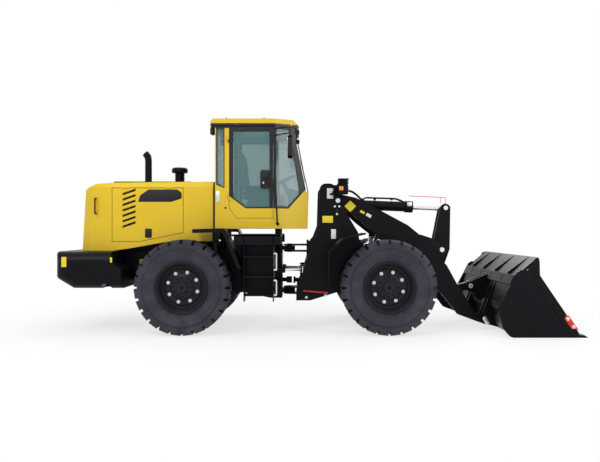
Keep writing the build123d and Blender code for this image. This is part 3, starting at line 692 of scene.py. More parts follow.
def ring_of(count: int, radius: float, start: float = 0.0) -> Iterable[Spot]:
    """Points spaced evenly round a circle."""
    for step in range(count):
        angle = start + 2.0 * math.pi * step / count
        yield radius * math.cos(angle), radius * math.sin(angle)


def turned(degrees: float, side: int) -> tuple[Point, Point]:
    """The two directions of a plate that lies turned on a side of the machine, for its slab."""
    turn = math.radians(degrees)
    return (-side * math.cos(turn), 0.0, math.sin(turn)), (side * math.sin(turn), 0.0, math.cos(turn))


def oblong(width: float, height: float, radius: float, steps: int = 5) -> list[Spot]:
    """A rounded rectangle about its centre."""
    points = []
    for index, (sx, sy) in enumerate(((1, 1), (-1, 1), (-1, -1), (1, -1))):
        centre = (sx * (width / 2 - radius), sy * (height / 2 - radius))
        for step in range(steps + 1):
            angle = math.pi / 2 * (index + step / steps)
            points.append((centre[0] + radius * math.cos(angle), centre[1] + radius * math.sin(angle)))
    return points


def eased_outline(corners: Sequence[tuple[float, float, float]], steps: int = 6) -> list[Spot]:
    """An outline whose corners are rounded.

    Args:
        corners: (across, up, radius) of each corner in order.
        steps: straight steps in each rounded corner.

    Returns:
        The outline's points.
    """
    points = []
    for index, (x, z, radius) in enumerate(corners):
        here = Vector((x, z))
        back = Vector(corners[index - 1][:2]) - here
        ahead = Vector(corners[(index + 1) % len(corners)][:2]) - here
        half = back.angle(ahead) / 2.0
        if radius <= 0.0:
            points.append((x, z))
            continue
        reach = radius / math.tan(half)
        start, end = here + back.normalized() * reach, here + ahead.normalized() * reach
        middle = here + (back.normalized() + ahead.normalized()).normalized() * radius / math.sin(half)
        first, last = start - middle, end - middle
        turn = first.angle(last)
        for step in range(steps + 1):
            share = step / steps
            arm = (first * math.sin((1 - share) * turn) + last * math.sin(share * turn)) / math.sin(turn)
            points.append(tuple(middle + arm))
    return points


# ---- wheels --------------------------------------------------------------------------------------------
@dataclass
class Wheels:
    """Bolts, rings and valves on the rims, and the guard ribs on the tyres."""

    front_x: float = 0.975
    rear_x: float = -1.875
    track: float = 0.925
    axle_z: float = 0.66
    bolt_circle: float = 0.211
    dish: float = 0.060

    def build(self) -> None:
        """Dress the four wheels."""
        for end, x in (("front", self.front_x), ("rear", self.rear_x)):
            for side, name in SIDES:
                self.wheel(f"{end}_{name}", (x, side * self.track, self.axle_z), side)

    def wheel(self, label: str, hub: Point, side: int) -> None:
        """Dress one wheel whose outer face looks to a side."""
        out = (0, side, 0)
        body = f"wheel_{label}"

        def at(off: float, a: float = 0.0, b: float = 0.0) -> Point:
            """A point a distance outboard of the wheel's middle."""
            return (hub[0] + a, hub[1] + side * off, hub[2] + b)

        bolts = Shape()
        for a, b in ring_of(8, self.bolt_circle, math.pi / 8 + 0.1):
            bolts.bolt(at(self.dish - 0.001, a, b), out, 0.026)
        bolts.done(f"wheel_bolts_{label}", Finish.ZINC, body)
        hubs = Shape()
        for a, b in ring_of(12, 0.128):
            hubs.bolt(at(0.117, a, b), out, 0.012)
        for a, b in ring_of(6, 0.058, 0.3):
            hubs.bolt(at(0.1485, a, b), out, 0.009)
        hubs.bolt(at(0.149), out, 0.024)
        step = [(0.0, 0.262), (0.006, 0.262), (0.006, 0.246), (0.0, 0.246)]
        hubs.lathe(step, at(self.dish - 0.001), out, 64)
        hubs.done(f"hub_bolts_{label}", Finish.BLACK, body)
        lock = Shape()
        for radius, off, thick in ((0.351, 0.1905, 0.010), (0.320, 0.166, 0.007)):
            ring = [(-1.0, -1.0), (0.4, -0.7), (0.7, 0.0), (0.4, 0.7), (-1.0, 1.0), (-1.0, -1.0)]
            lock.lathe([(a * thick, radius + b * thick) for a, b in ring], at(off), out, 96)
        lock.done(f"lock_rings_{label}", Finish.RIM, body)
        valve = Shape().tube([at(0.105, 0.0, 0.299), at(0.13, 0.0, 0.285), at(0.16, 0.0, 0.283)], 0.007)
        valve.pin(at(0.158, 0.0, 0.283), out, 0.009, 0.014)
        valve.done(f"valve_{label}", Finish.TRIM, body)
        ribs = Shape()
        for way in (-1, 1):
            for radius, off, thick in ((0.375, 0.1775, 0.008), (0.402, 0.185, 0.005), (0.535, 0.2225, 0.004)):
                bead = [(-1.0, -1.3), (1.0, -0.5), (1.0, 0.5), (-1.0, 1.3), (-1.0, -1.3)]
                profile = [(a * thick, radius + b * thick) for a, b in bead]
                ribs.lathe(profile, (hub[0], hub[1] + way * off, hub[2]), (0, way, 0), 96)
        ribs.done(f"tyre_ribs_{label}", Finish.TYRE, body, "tyre")


# ---- hoses ---------------------------------------------------------------------------------------------
@dataclass
class Hoses:
    """The rubber hoses over the tilt ram's foot, both ends fixed."""

    diameter: float = 0.026

    def build(self) -> None:
        """Lay the hoses."""
        for index, y in enumerate((-0.038, 0.038)):
            points = [
                (0.20, y * 2.2, 1.93), (0.30, y * 2.0, 2.03), (0.45, y * 1.6, 2.07), (0.60, y * 1.2, 2.03),
                (0.70, y, 1.91),
            ]
            self.lay(f"tilt_hose_{index}", points, "tilt_barrel")

    def lay(self, name: str, points: Sequence[Point], body: str) -> None:
        """Lay one hose as a smooth cord through its route's points.

        Args:
            name: the piece's name.
            points: the route's control points.
            body: the body that carries it.
        """
        curve = bpy.data.curves.new(name, "CURVE")
        curve.dimensions = "3D"
        curve.bevel_depth, curve.bevel_resolution = self.diameter / 2, 4
        spline = curve.splines.new("NURBS")
        spline.points.add(len(points) - 1)
        for place, point in zip(spline.points, points):
            place.co = (*point, 1.0)
        spline.order_u, spline.use_endpoint_u = 3, True
        spline.resolution_u = 12
        curve.use_fill_caps = True
        curve.materials.append(Finish.HOSE.get())
        hose = linked(name, curve)
        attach(hose, body)
        LOG.info("hose %s on %s", name, body)


# ---- cab -----------------------------------------------------------------------------------------------
@dataclass
class Cab:
    """Everything fixed to the cab: glazing trim, locks, wiper, markers and the inside fittings."""

    wall: float = 0.72
    roof: float = 3.04

    def build(self) -> None:
        """Dress the cab."""
        for side, name in SIDES:
            self.outside(side, name)
            self.door(side, name)
        self.screen()
        self.inside()

    def outside(self, side: int, name: str) -> None:
        """The rail, latch, roof studs, marker and quarter pane's seal of one side."""
        out = (0, side, 0)
        y = side * self.wall
        rail = Shape()
        bar = [(-0.612, -0.004, 2.42), (-0.612, 0.05, 2.40), (-0.575, 0.045, 1.56), (-0.572, -0.02, 1.54)]
        rail.tube([(x, y + side * off, z) for x, off, z in bar], 0.012)
        rail.pin((-0.612, y, 2.42), out, 0.024, 0.006).pin((-0.572, y - side * 0.014, 1.54), out, 0.024, 0.01)
        rail.done(f"cab_rail_{name}", Finish.TRIM, "rear_frame")
        latch = Shape().plate((-1.422, y + side * 0.004, 1.926), (0.05, 0.012, 0.166), 0.003)
        latch.plate((-1.422, y + side * 0.014, 1.95), (0.022, 0.012, 0.06), 0.003)
        latch.pin((-1.422, y + side * 0.01, 1.87), out, 0.008, 0.006)
        latch.done(f"cab_latch_{name}", Finish.ZINC, "rear_frame")
        button = Shape().pin((-1.316, y - side * SINK, 1.768), out, 0.014, 0.008)
        stud = [(0.0, 0.0), (0.0, 0.03), (0.008, 0.03), (0.008, 0.016), (0.026, 0.012), (0.026, 0.0)]
        for x in (-1.309, -0.769):
            button.lathe(stud, (x, side * 0.66, self.roof - 0.002), UP, 16)
        button.done(f"roof_eyes_{name}", Finish.TRIM, "rear_frame")
        marker = Shape().pin((-0.385, side * 0.619, 2.968), (0.475, side * 0.88, 0.0), 0.017, 0.022, 0.005)
        marker.done(f"roof_marker_{name}", Finish.LENS_AMBER, "rear_frame")
        corners = [(-1.444, 2.904), (-1.444, 2.105), (-1.336, 2.056), (-1.336, 2.904)]
        seal = self.seal(corners, y + side * 0.001, 0.006)
        seal.done(f"quarter_seal_{name}", Finish.TRIM, "rear_frame")

    def seal(self, corners: Outline, y: float, radius: float) -> Shape:
        """A rubber seal round a pane, straight from corner to corner."""
        strip = Shape()
        for (x0, z0), (x1, z1) in zip(corners, [*corners[1:], corners[0]]):
            strip.tube([(x0, y, z0), (x1, y, z1)], radius, 8)
        return strip

    def door(self, side: int, name: str) -> None:
        """The lock panel, handle and window seal of one door."""
        body = f"cab_door_{name}"
        y = side * self.wall
        lock = Shape()
        lock.side_slab(oblong(0.135, 0.262, 0.03), (-0.752, 2.177), y - side * 0.002, side, 0.012, 0.003)
        lock.side_slab(oblong(0.09, 0.05, 0.02), (-0.745, 2.215), y + side * 0.010, side, 0.016, 0.004)
        pull = ((0.012, 2.10), (0.05, 2.115), (0.05, 2.215), (0.012, 2.23))
        lock.tube([(-0.70, y + side * off, z) for off, z in pull], 0.009)
        lock.done(f"door_lock_{name}", Finish.TRIM, body)
        barrel = Shape().pin((-0.775, y + side * 0.01, 2.125), (0, side, 0), 0.013, 0.006)
        barrel.done(f"door_key_{name}", Finish.ZINC, body)
        corners = [(-1.215, 2.87), (-0.682, 2.87), (-0.682, 1.775), (-1.035, 1.775), (-1.215, 1.915)]
        self.seal(corners, y - side * 0.012, 0.007).done(f"door_seal_{name}", Finish.TRIM, body)

    def screen(self) -> None:
        """The wiper on the windscreen, with its motor."""
        wiper = Shape().tube([(-0.150, -0.24, 2.005), (-0.132, -0.24, 2.03), (-0.242, -0.25, 2.50)], 0.007)
        wiper.tube([(-0.171, -0.25, 2.17), (-0.286, -0.25, 2.76)], 0.008)
        wiper.pin((-0.156, -0.24, 2.0), (1, 0, 0.2), 0.022, 0.02)
        wiper.done("wiper", Finish.TRIM, "rear_frame")

    def inside(self) -> None:
        """Levers, an armrest box and the extinguisher by the dash."""
        levers = Shape()
        y = -0.34
        for x, tilt in ((-0.70, 0.03), (-0.76, 0.02), (-0.82, 0.0)):
            levers.tube([(x, y, 2.10), (x + tilt, y, 2.22)], 0.007)
            knob = [(0.0, 0.0), (0.004, 0.014), (0.03, 0.018), (0.042, 0.011), (0.046, 0.0)]
            levers.lathe(knob, (x + tilt, y, 2.21), UP, 14)
        levers.plate((-0.83, -0.34, 2.06), (0.46, 0.12, 0.10), 0.02)
        levers.plate((-0.86, -0.34, 1.77), (0.3, 0.1, 0.52), 0.015)
        levers.done("lever_box", Finish.TRIM, "rear_frame")
        profile = [
            (0.0, 0.0), (0.0, 0.034), (0.012, 0.038), (0.118, 0.038), (0.14, 0.026), (0.15, 0.012),
            (0.165, 0.012), (0.165, 0.0),
        ]
        bottle = Shape().lathe(profile, (-0.506, -0.342, 1.83), UP, 24)
        bottle.done("extinguisher", Finish.LABEL_YELLOW, "rear_frame")
        strap = Shape().plate((-0.506, -0.305, 1.88), (0.09, 0.02, 0.02), 0.004)
        strap.plate((-0.506, -0.3, 1.815), (0.08, 0.11, 0.02), 0.004)
        strap.done("extinguisher_strap", Finish.TRIM, "rear_frame")


@dataclass
class Seat:
    """The driver's seat as soft goods: a cushion and a back, blown up from slightly smaller forms."""

    cap: float = 0.024

    def build(self) -> None:
        """Make both pads and the carrier below them."""
        cushion = self.pad("seat_cushion", (-0.885, 0.0, 2.005), (0.47, 0.47, 0.085), 0.0)
        back = self.pad("seat_back", (-1.128, 0.0, 2.345), (0.085, 0.43, 0.56), -7.0)
        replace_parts(cushion, "seat")
        base = Shape().plate((-0.9, 0.0, 1.94), (0.46, 0.44, 0.03), 0.008)
        base.plate((-0.9, 0.0, 1.72), (0.30, 0.34, 0.42), 0.03)
        for z in (1.60, 1.68, 1.76, 1.84):
            base.plate((-0.9, 0.0, z), (0.335, 0.375, 0.03), 0.012)
        base.plate((-1.155, 0.0, 2.2), (0.03, 0.30, 0.5), 0.01)
        base.done("seat_carrier", Finish.TRIM, "rear_frame")

    def pad(self, name: str, centre: Point, size: Point, lean: float) -> bpy.types.Object:
        """A padded block, crowned by simulated pressure.

        Args:
            name: the piece's name.
            centre: its middle.
            size: its length, width and height before it swells.
            lean: degrees that it leans about the machine's Y axis.

        Returns:
            The finished pad.
        """
        shape = bmesh.new()
        bmesh.ops.create_cube(shape, size=1.0)
        bmesh.ops.scale(shape, vec=size, verts=shape.verts)
        edges = list(shape.edges)
        bmesh.ops.bevel(shape, geom=edges, offset=min(size) * 0.3, segments=3, affect="EDGES", profile=0.5)
        turn = Matrix.Rotation(math.radians(lean), 3, "Y")
        bmesh.ops.rotate(shape, cent=(0, 0, 0), matrix=turn, verts=shape.verts)
        bmesh.ops.translate(shape, vec=centre, verts=shape.verts)
        mesh = bpy.data.meshes.new(name)
        shape.to_mesh(mesh)
        shape.free()
        mesh.materials.append(Finish.SEAT.get())
        piece = linked(name, mesh)
        self.swell(piece)
        mesh.shade_smooth()
        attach(piece, "rear_frame")
        LOG.info("pad %s: %d faces", name, len(piece.data.polygons))
        return piece

    def swell(self, piece: bpy.types.Object) -> None:
        """Blow the pad up by simulated cloth and keep the result in its mesh."""
        scene = bpy.context.scene
        bpy.context.view_layer.objects.active = piece
        remesh = piece.modifiers.new("remesh", "REMESH")
        remesh.mode, remesh.voxel_size = "VOXEL", 0.011
        bpy.ops.object.modifier_apply(modifier=remesh.name)
        start = [vert.co.copy() for vert in piece.data.vertices]
        cloth = piece.modifiers.new("cloth", "CLOTH")
        cloth.settings.use_pressure = True
        cloth.settings.uniform_pressure_force = 4.0
        cloth.settings.effector_weights.gravity = 0.0
        for step in range(1, 13):
            scene.frame_set(step)
        bpy.ops.object.modifier_apply(modifier=cloth.name)
        scene.frame_set(1)
        for vert, was in zip(piece.data.vertices, start):
            move = vert.co - was
            if move.length > self.cap:
                vert.co = was + move.normalized() * self.cap


# ---- engine end ----------------------------------------------------------------------------------------
@dataclass
class EngineEnd:
    """Fittings of the hood, the counterweight and the rear frame."""

    hood: float = 0.66
    weight: float = 1.05

    def build(self) -> None:
        """Dress the engine end."""
        for side, name in SIDES:
            self.hood_side(side, name)
            self.labels(side, name)
        self.top()
        self.lamps()

    def hood_side(self, side: int, name: str) -> None:
        """The badge, latch and louvre screen of one hood door."""
        body = f"hood_door_{name}"
        y = side * self.hood
        badge = [
            (-2.577, 1.857), (-2.10, 1.857), (-1.953, 1.905), (-1.953, 1.99), (-2.02, 2.034), (-2.43, 2.034),
            (-2.55, 1.95),
        ]
        latch = (-2.43, 1.4065)
        flat = Shape().side_slab(badge, (0.0, 0.0), y - side * SINK, side, 0.004, 0.001)
        flat.side_slab(oblong(0.096, 0.131, 0.012), latch, y - side * SINK, side, 0.008, 0.003)
        flat.side_slab(oblong(0.05, 0.07, 0.01), latch, y + side * 0.006, side, 0.012, 0.003)
        flat.done(f"hood_badge_{name}", Finish.TRIM, body)
        back = Shape().plate((-2.71, side * 0.616, 1.7185), (0.26, 0.008, 0.66), 0.002)
        back.done(f"louvre_screen_{name}", Finish.MESH, body)
        seam = Shape()
        for x in (-2.9585, -1.9235):
            seam.plate((x, side * (self.hood - 0.012), 1.70), (0.008, 0.02, 0.70), 0.001)
        seam.done(f"hood_seams_{name}", Finish.TRIM, "rear_frame")
        strip = Shape().plate((-2.44, side * 0.36, 2.158), (1.14, 0.03, 0.028), 0.006)
        strip.done(f"hood_strip_{name}", Finish.TRIM, "rear_frame")

    def labels(self, side: int, name: str) -> None:
        """Blank plates on the counterweight and the frame rail."""
        y = side * self.weight
        plates = Shape().plate((-3.50, y, 1.012), (0.07, 0.004, 0.138), 0.001)
        plates.plate((-2.851, y, 1.04), (0.028, 0.004, 0.07), 0.001)
        plates.plate((-2.60, side * 0.346, 0.985), (0.075, 0.004, 0.075), 0.001)
        plates.plate((-2.50, side * 0.346, 1.04), (0.10, 0.004, 0.05), 0.001)
        plates.done(f"weight_plates_{name}", Finish.LABEL_YELLOW, "rear_frame")
        white = Shape().plate((-2.50, side * 0.346, 0.975), (0.10, 0.004, 0.07), 0.001)
        white.done(f"rail_plate_{name}", Finish.LABEL_WHITE, "rear_frame")
        bolts = Shape()
        for x in (-3.32, -3.2):
            bolts.bolt((x, y - side * SINK, 0.86), (0, side, 0), 0.02)
        bolts.done(f"weight_bolts_{name}", Finish.BLACK, "rear_frame")

    def top(self) -> None:
        """The base plate of the air intake, the rain collar of the tail pipe and the seal before the cab."""
        plate = Shape().plate((-2.105, 0.0, 2.156), (0.26, 0.26, 0.012), 0.003)
        collar = [(0.0, 0.068), (0.0, 0.10), (0.012, 0.10), (0.03, 0.07), (0.0, 0.068)]
        plate.lathe(collar, (-2.105, 0, 2.16), UP, 40)
        for a, b in ring_of(4, 0.155, math.pi / 4):
            plate.bolt((-2.105 + a, b, 2.161), UP, 0.012)
        collar = [
            (0.0, 0.053), (0.0, 0.085), (0.01, 0.085), (0.04, 0.056), (0.05, 0.056), (0.05, 0.053),
            (0.0, 0.053),
        ]
        plate.lathe(collar, (-2.588, 0, 2.15), UP, 40)
        plate.done("hood_collars", Finish.BLACK, "rear_frame")
        seal = Shape()
        ring = [(-0.64, 1.32), (-0.64, 2.085), (-0.585, 2.135), (0.585, 2.135), (0.64, 2.085), (0.64, 1.32)]
        seal.tube([(-1.484, y, z) for y, z in ring], 0.017, 10)
        seal.done("hood_seal", Finish.TRIM, "rear_frame")

    def lamps(self) -> None:
        """Lenses of the work lamps and mirrors' glass."""
        clear = Shape()
        for side, _ in SIDES:
            clear.plate((-1.5465, side * 0.59, 2.881), (0.006, 0.12, 0.082), 0.002)
            clear.plate((-0.2605, side * 0.49, 2.879), (0.006, 0.08, 0.048), 0.002)
        clear.done("work_lamp_lenses", Finish.LENS_CLEAR, "rear_frame")
        glass = Shape()
        for side, _ in SIDES:
            glass.plate((-0.4255, side * 0.90, 2.613), (0.004, 0.142, 0.268), 0.001)
        glass.done("mirror_glass", Finish.CHROME, "rear_frame")


# ---- arm end -------------------------------------------------------------------------------------------
@dataclass
class ArmEnd:
    """Pins, plates, lenses and pipes of the front frame, the arms and the bucket."""

    tower_face: float = 0.525
    arm_face: float = 0.485
    bucket_side_face: float = 1.239
    lock_y: float = 0.552
    lamp_z: float = 2.032
    link_pin: Spot = (2.356, 0.6)

    def build(self) -> None:
        """Dress the arm end."""
        for side, name in SIDES:
            self.tower(side, name)
            self.arm_side(side, name)
            self.bucket_side(side, name)
        self.ram_lines()
        self.indicator()
        self.edge()

    def tower(self, side: int, name: str) -> None:
        """Bolts, blank plates and lamp lenses by a tower."""
        face, out = side * self.tower_face, (0, side, 0)
        bolts = Shape()
        for x, z in ((0.257, 1.796), (0.321, 1.796), (0.288, 1.684)):
            bolts.pin((x, face - side * SINK, z), out, 0.016, 0.008)
        bolts.pin((0.3, side * 0.537, 1.88), out, 0.034, 0.008)
        for x in (-0.16, 0.12):
            bolts.bolt((x, face, 0.47 if x < 0 else 0.50), out, 0.02)
        bolts.done(f"tower_bolts_{name}", Finish.ZINC, "front_frame")
        hole = Shape().pin((0.288, face - side * SINK, 1.74), out, 0.015, 0.003)
        hole.done(f"tower_plug_{name}", Finish.TRIM, "front_frame")
        yellow = Shape().plate((0.152, face, 1.608), (0.154, 0.004, 0.10), 0.001)
        yellow.done(f"tower_yellow_{name}", Finish.LABEL_YELLOW, "front_frame")
        white = Shape().plate((0.187, face, 1.986), (0.09, 0.004, 0.15), 0.001)
        white.plate((0.237, face, 1.394), (0.07, 0.004, 0.14), 0.001)
        white.done(f"tower_white_{name}", Finish.LABEL_WHITE, "front_frame")
        amber = Shape().plate((0.335, side * 0.756, 2.045), (0.06, 0.01, 0.055), 0.003)
        amber.plate((0.437, side * 0.70, self.lamp_z), (0.008, 0.05, 0.085), 0.003)
        amber.done(f"turn_lamp_{name}", Finish.LENS_AMBER, "front_frame")
        clear = Shape().plate((0.437, side * 0.635, self.lamp_z), (0.008, 0.052, 0.085), 0.003)
        clear.done(f"head_lens_{name}", Finish.LENS_CLEAR, "front_frame")
        y = side * self.lock_y
        lock = Shape().tube([(-0.208, y, 0.566), (0.154, y, 0.538)], 0.012)
        lock.done(f"lock_bar_{name}", Finish.RED, "front_frame")
        clip = Shape()
        for x, z in ((-0.17, 0.563), (0.10, 0.542)):
            clip.plate((x, side * 0.54, z), (0.03, 0.034, 0.036), 0.004)
        clip.done(f"lock_clips_{name}", Finish.BLACK, "front_frame")

    def arm_side(self, side: int, name: str) -> None:
        """Pin caps and blank plates along an arm and its bellcrank."""
        out = (0, side, 0)
        crank = Shape().pin((1.97, side * 0.111, 1.788), out, 0.034, 0.007)
        crank.done(f"tilt_pin_cap_{name}", Finish.ZINC, "bellcrank")
        caps = Shape().pin((1.885, side * 0.2395, 1.155), out, 0.036, 0.007)
        caps.pin((0.9, side * 0.486, 1.29), out, 0.03, 0.006)
        caps.done(f"arm_pin_caps_{name}", Finish.ZINC, "boom")
        face = side * self.arm_face
        diamond = [(-0.085, 0.0), (0.0, -0.085), (0.085, 0.0), (0.0, 0.085)]
        plate = Shape().side_slab(diamond, (0.485, 1.80), face - side * SINK, side, 0.003)
        along, rise = turned(-29.0, side)
        plate.slab(oblong(0.07, 0.035, 0.004, 2), (0.66, face - side * SINK, 1.715), along, rise, 0.003)
        plate.done(f"arm_yellow_{name}", Finish.LABEL_YELLOW, "boom")
        white = Shape()
        white.slab(oblong(0.08, 0.045, 0.004, 2), (0.755, face - side * SINK, 1.665), along, rise, 0.003)
        white.done(f"arm_white_{name}", Finish.LABEL_WHITE, "boom")

    def bucket_side(self, side: int, name: str) -> None:
        """The red side cutters, pin plates and caps of the bucket."""
        out = (0, side, 0)
        cutter = [(3.318, 0.304), (3.30, 0.262), (3.398, 0.122), (3.452, 0.122), (3.498, 0.10), (3.36, 0.304)]
        red = Shape().side_slab(cutter, (0.0, 0.0), side * self.bucket_side_face, side, 0.014, 0.003)
        red.done(f"side_cutter_{name}", Finish.RED, "bucket")
        bolts = Shape()
        for x, z in ((3.347, 0.258), (3.425, 0.152)):
            bolts.bolt((x, side * 1.252, z), out, 0.026)
        bolts.done(f"cutter_bolts_{name}", Finish.ZINC, "bucket")
        lock = Shape()
        along, rise = turned(-62.0, side)
        lock.slab(oblong(0.126, 0.063, 0.02), (2.453, side * 0.551, 0.136), along, rise, 0.008, 0.002)
        lock.done(f"bucket_lock_{name}", Finish.ZINC, "bucket")
        x, z = self.link_pin
        cap = Shape().pin((x, side * 0.107, z), out, 0.034, 0.006)
        cap.done(f"link_pin_cap_{name}", Finish.ZINC, "bucket")
        plug = Shape().pin((x, side * 0.1125, z), out, 0.013, 0.005)
        plug.done(f"link_pin_plug_{name}", Finish.RED, "bucket")

    def edge(self) -> None:
        """Plough bolts along the lip and creases on the rear beam."""
        bolts = Shape()
        for step in range(10):
            place = (3.52, -1.08 + 0.24 * step, 0.0315)
            bolts.lathe([(0.0, 0.0), (0.0, 0.02), (0.006, 0.014), (0.006, 0.0)], place, UP, 16)
        bolts.done("edge_bolts", Finish.ZINC, "bucket")
        creases = Shape()
        for y in (-0.78, -0.26, 0.26, 0.78):
            crease = [(-0.045, -0.004), (0.045, -0.004), (0.045, 0.004), (-0.045, 0.004)]
            creases.slab(crease, (2.607, y, 0.782), (0.42, 0, 0.907), (0, 1, 0), -0.007)
        creases.done("beam_creases", Finish.IRON, "bucket")

    def ram_lines(self) -> None:
        """Steel pipes along the tilt ram, with their clamps, and the fitting at its gland."""
        pipes = Shape()
        for side in (-1, 1):
            y = side * 0.038
            bends = ((0.72, 1.925), (0.76, 1.95), (1.22, 1.935), (1.30, 1.905), (1.36, 1.87))
            pipes.tube([(x, y, z) for x, z in bends], 0.012)
            pipes.pin((0.70, y, 1.905), (0.6, 0, 0.8), 0.02, 0.035)
        for x in (0.9, 1.16):
            pipes.plate((x, 0.0, 1.925), (0.03, 0.12, 0.03), 0.006)
        pipes.done("ram_pipes", Finish.BLACK, "tilt_barrel")
        fitting = Shape().plate((1.42, -0.09, 1.845), (0.07, 0.03, 0.06), 0.006)
        fitting.pin((1.42, -0.10, 1.845), (0, -1, 0), 0.018, 0.014)
        fitting.done("gland_fitting", Finish.ZINC, "tilt_barrel")

    def indicator(self) -> None:
        """The thin level rod that stands on the bellcrank's top."""
        posts = Shape()
        for x in (1.928, 2.006):
            posts.tube([(x, 0.072, 1.862), (x, 0.072, 1.955)], 0.004, 8)
        posts.tube([(2.006, 0.072, 1.955), (1.44, 0.072, 1.982)], 0.005, 8)
        posts.done("level_rod", Finish.RED, "bellcrank")


# ---- outfit --------------------------------------------------------------------------------------------
@dataclass
class Outfit:
    """Tail pipe, air intake, mirrors, lamps, rails and covers that stand on the two frames."""

    pipe_x: float = -2.588
    pipe_top: float = 2.52
    pipe_bend: float = 0.15
    pipe_turn: float = 48.0
    intake_x: float = -2.105
    cab_wall: float = 0.72
    lamp_y: float = 0.67

    def build(self) -> None:
        """Stand the outfit on the machine."""
        self.tail_pipe()
        self.air_intake()
        for side, name in SIDES:
            self.mirror(side, name)
            self.work_lamps(side, name)
            self.head_lamp(side, name)
            self.tail_lamp(side, name)
            self.rails(side, name)
            self.covers(side, name)
            self.arm_ear(side, name)

    def tail_pipe(self) -> None:
        """The exhaust, bent rearwards at its open mouth."""
        path = [(self.pipe_x, 0.0, 1.78), (self.pipe_x, 0.0, self.pipe_top)]
        steps = 6
        for step in range(1, steps + 1):
            angle = math.radians(self.pipe_turn) * step / steps
            path.append((self.pipe_x - self.pipe_bend * (1.0 - math.cos(angle)), 0.0,
                         self.pipe_top + self.pipe_bend * math.sin(angle)))
        pipe = Shape().tube(path, 0.052, 32, 2, bore=0.045)
        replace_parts(pipe.done("tail_pipe", Finish.BLACK, "rear_frame", "black_paint"), "exhaust")

    def air_intake(self) -> None:
        """The ribbed neck and the cap of the air pre-cleaner."""
        profile = [(-0.10, 0.0), (-0.10, 0.068)]
        for rib in range(4):
            low = 0.02 + 0.036 * rib
            profile += [(low, 0.068), (low + 0.005, 0.077), (low + 0.017, 0.077), (low + 0.022, 0.068)]
        profile += [(0.162, 0.068), (0.17, 0.112), (0.178, 0.122)]
        profile += [(0.228, 0.122), (0.248, 0.100), (0.252, 0.0)]
        cleaner = Shape().lathe(profile, (self.intake_x, 0.0, 2.16), UP, 48)
        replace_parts(cleaner.done("air_intake", Finish.BLACK, "rear_frame", "black_paint"), "pre_cleaner")

    def mirror(self, side: int, name: str) -> None:
        """A mirror head on two bent stays from the cab's front corner."""
        head = Shape()
        head.slab(oblong(0.18, 0.308, 0.026), (-0.424, side * 0.90, 2.613), (0, 1, 0), UP, 0.068, 0.008)
        head.plate((-0.39, side * 0.90, 2.74), (0.05, 0.05, 0.06), 0.006)
        wall, reach = side * self.cab_wall, side * 0.90
        head.tube([(-0.612, wall, 2.90), (-0.395, reach, 2.90), (-0.395, reach, 2.74)], 0.011)
        head.tube([(-0.612, wall, 2.80), (-0.395, reach, 2.815)], 0.009)
        head.pin((-0.612, wall, 2.90), (0, side, 0), 0.02, 0.008)
        head.pin((-0.612, wall, 2.80), (0, side, 0), 0.018, 0.008)
        head.done(f"mirror_{name}", Finish.TRIM, "rear_frame")

    def work_lamps(self, side: int, name: str) -> None:
        """A work lamp under the roof's front edge and one at its rear."""
        lamps = Shape().plate((-1.5165, side * 0.59, 2.881), (0.057, 0.14, 0.102), 0.012)
        lamps.plate((-1.478, side * 0.59, 2.88), (0.03, 0.05, 0.04), 0.003)
        lamps.plate((-0.292, side * 0.49, 2.879), (0.06, 0.10, 0.066), 0.012)
        lamps.tube([(-0.312, side * 0.49, 2.895), (-0.312, side * 0.49, 2.945)], 0.01)
        lamps.done(f"work_lamps_{name}", Finish.TRIM, "rear_frame")

    def head_lamp(self, side: int, name: str) -> None:
        """The slatted guard, housing and arm of a head lamp on the tower."""
        y = side * self.lamp_y
        lamp = Shape().plate((0.363, y, 2.032), (0.142, 0.17, 0.134), 0.006)
        lamp.plate((0.366, y, 2.13), (0.10, 0.12, 0.10), 0.002)
        for middle, height in ((2.118, 0.014), (2.144, 0.014), (2.1755, 0.025)):
            lamp.plate((0.366, y, middle), (0.148, 0.17, height), 0.003)
        arm = [(0.19, 1.96), (0.23, 1.96), (0.335, 2.085), (0.335, 2.14), (0.30, 2.14)]
        lamp.side_slab(arm, (0.0, 0.0), side * 0.555, side, 0.035, 0.003)
        lamp.plate((0.22, side * 0.556, 1.9725), (0.08, 0.066, 0.025), 0.003)
        lamp.done(f"head_lamp_{name}", Finish.BLACK, "front_frame", "black_paint")

    def tail_lamp(self, side: int, name: str) -> None:
        """A tail lamp let into the counterweight's rear face."""
        rim = Shape().plate((-3.642, side * 0.815, 0.9975), (0.014, 0.14, 0.125), 0.004)
        rim.done(f"tail_lamp_{name}", Finish.TRIM, "rear_frame")
        lens = Shape().plate((-3.65, side * 0.815, 0.9975), (0.01, 0.11, 0.096), 0.003)
        lens.done(f"tail_lens_{name}", Finish.LENS_RED, "rear_frame")

    def rails(self, side: int, name: str) -> None:
        """The handle behind the hood door and the two short bars by the ladder."""
        wall, out = side * 0.656, side * 0.722
        bends = ((wall, 1.69), (out, 1.69), (out, 1.905), (wall, 1.905))
        handle = Shape().tube([(-3.18, y, z) for y, z in bends], 0.011)
        handle.done(f"hood_handle_{name}", Finish.BLACK, "rear_frame")
        bars = Shape()
        for low, high in ((0.56, 0.76), (0.905, 1.13)):
            y = side * 1.08
            bars.tube([(-0.613, y, low), (-0.575, y, low), (-0.575, y, high), (-0.613, y, high)], 0.013)
        bars.done(f"ladder_bars_{name}", Finish.ZINC, "rear_frame")

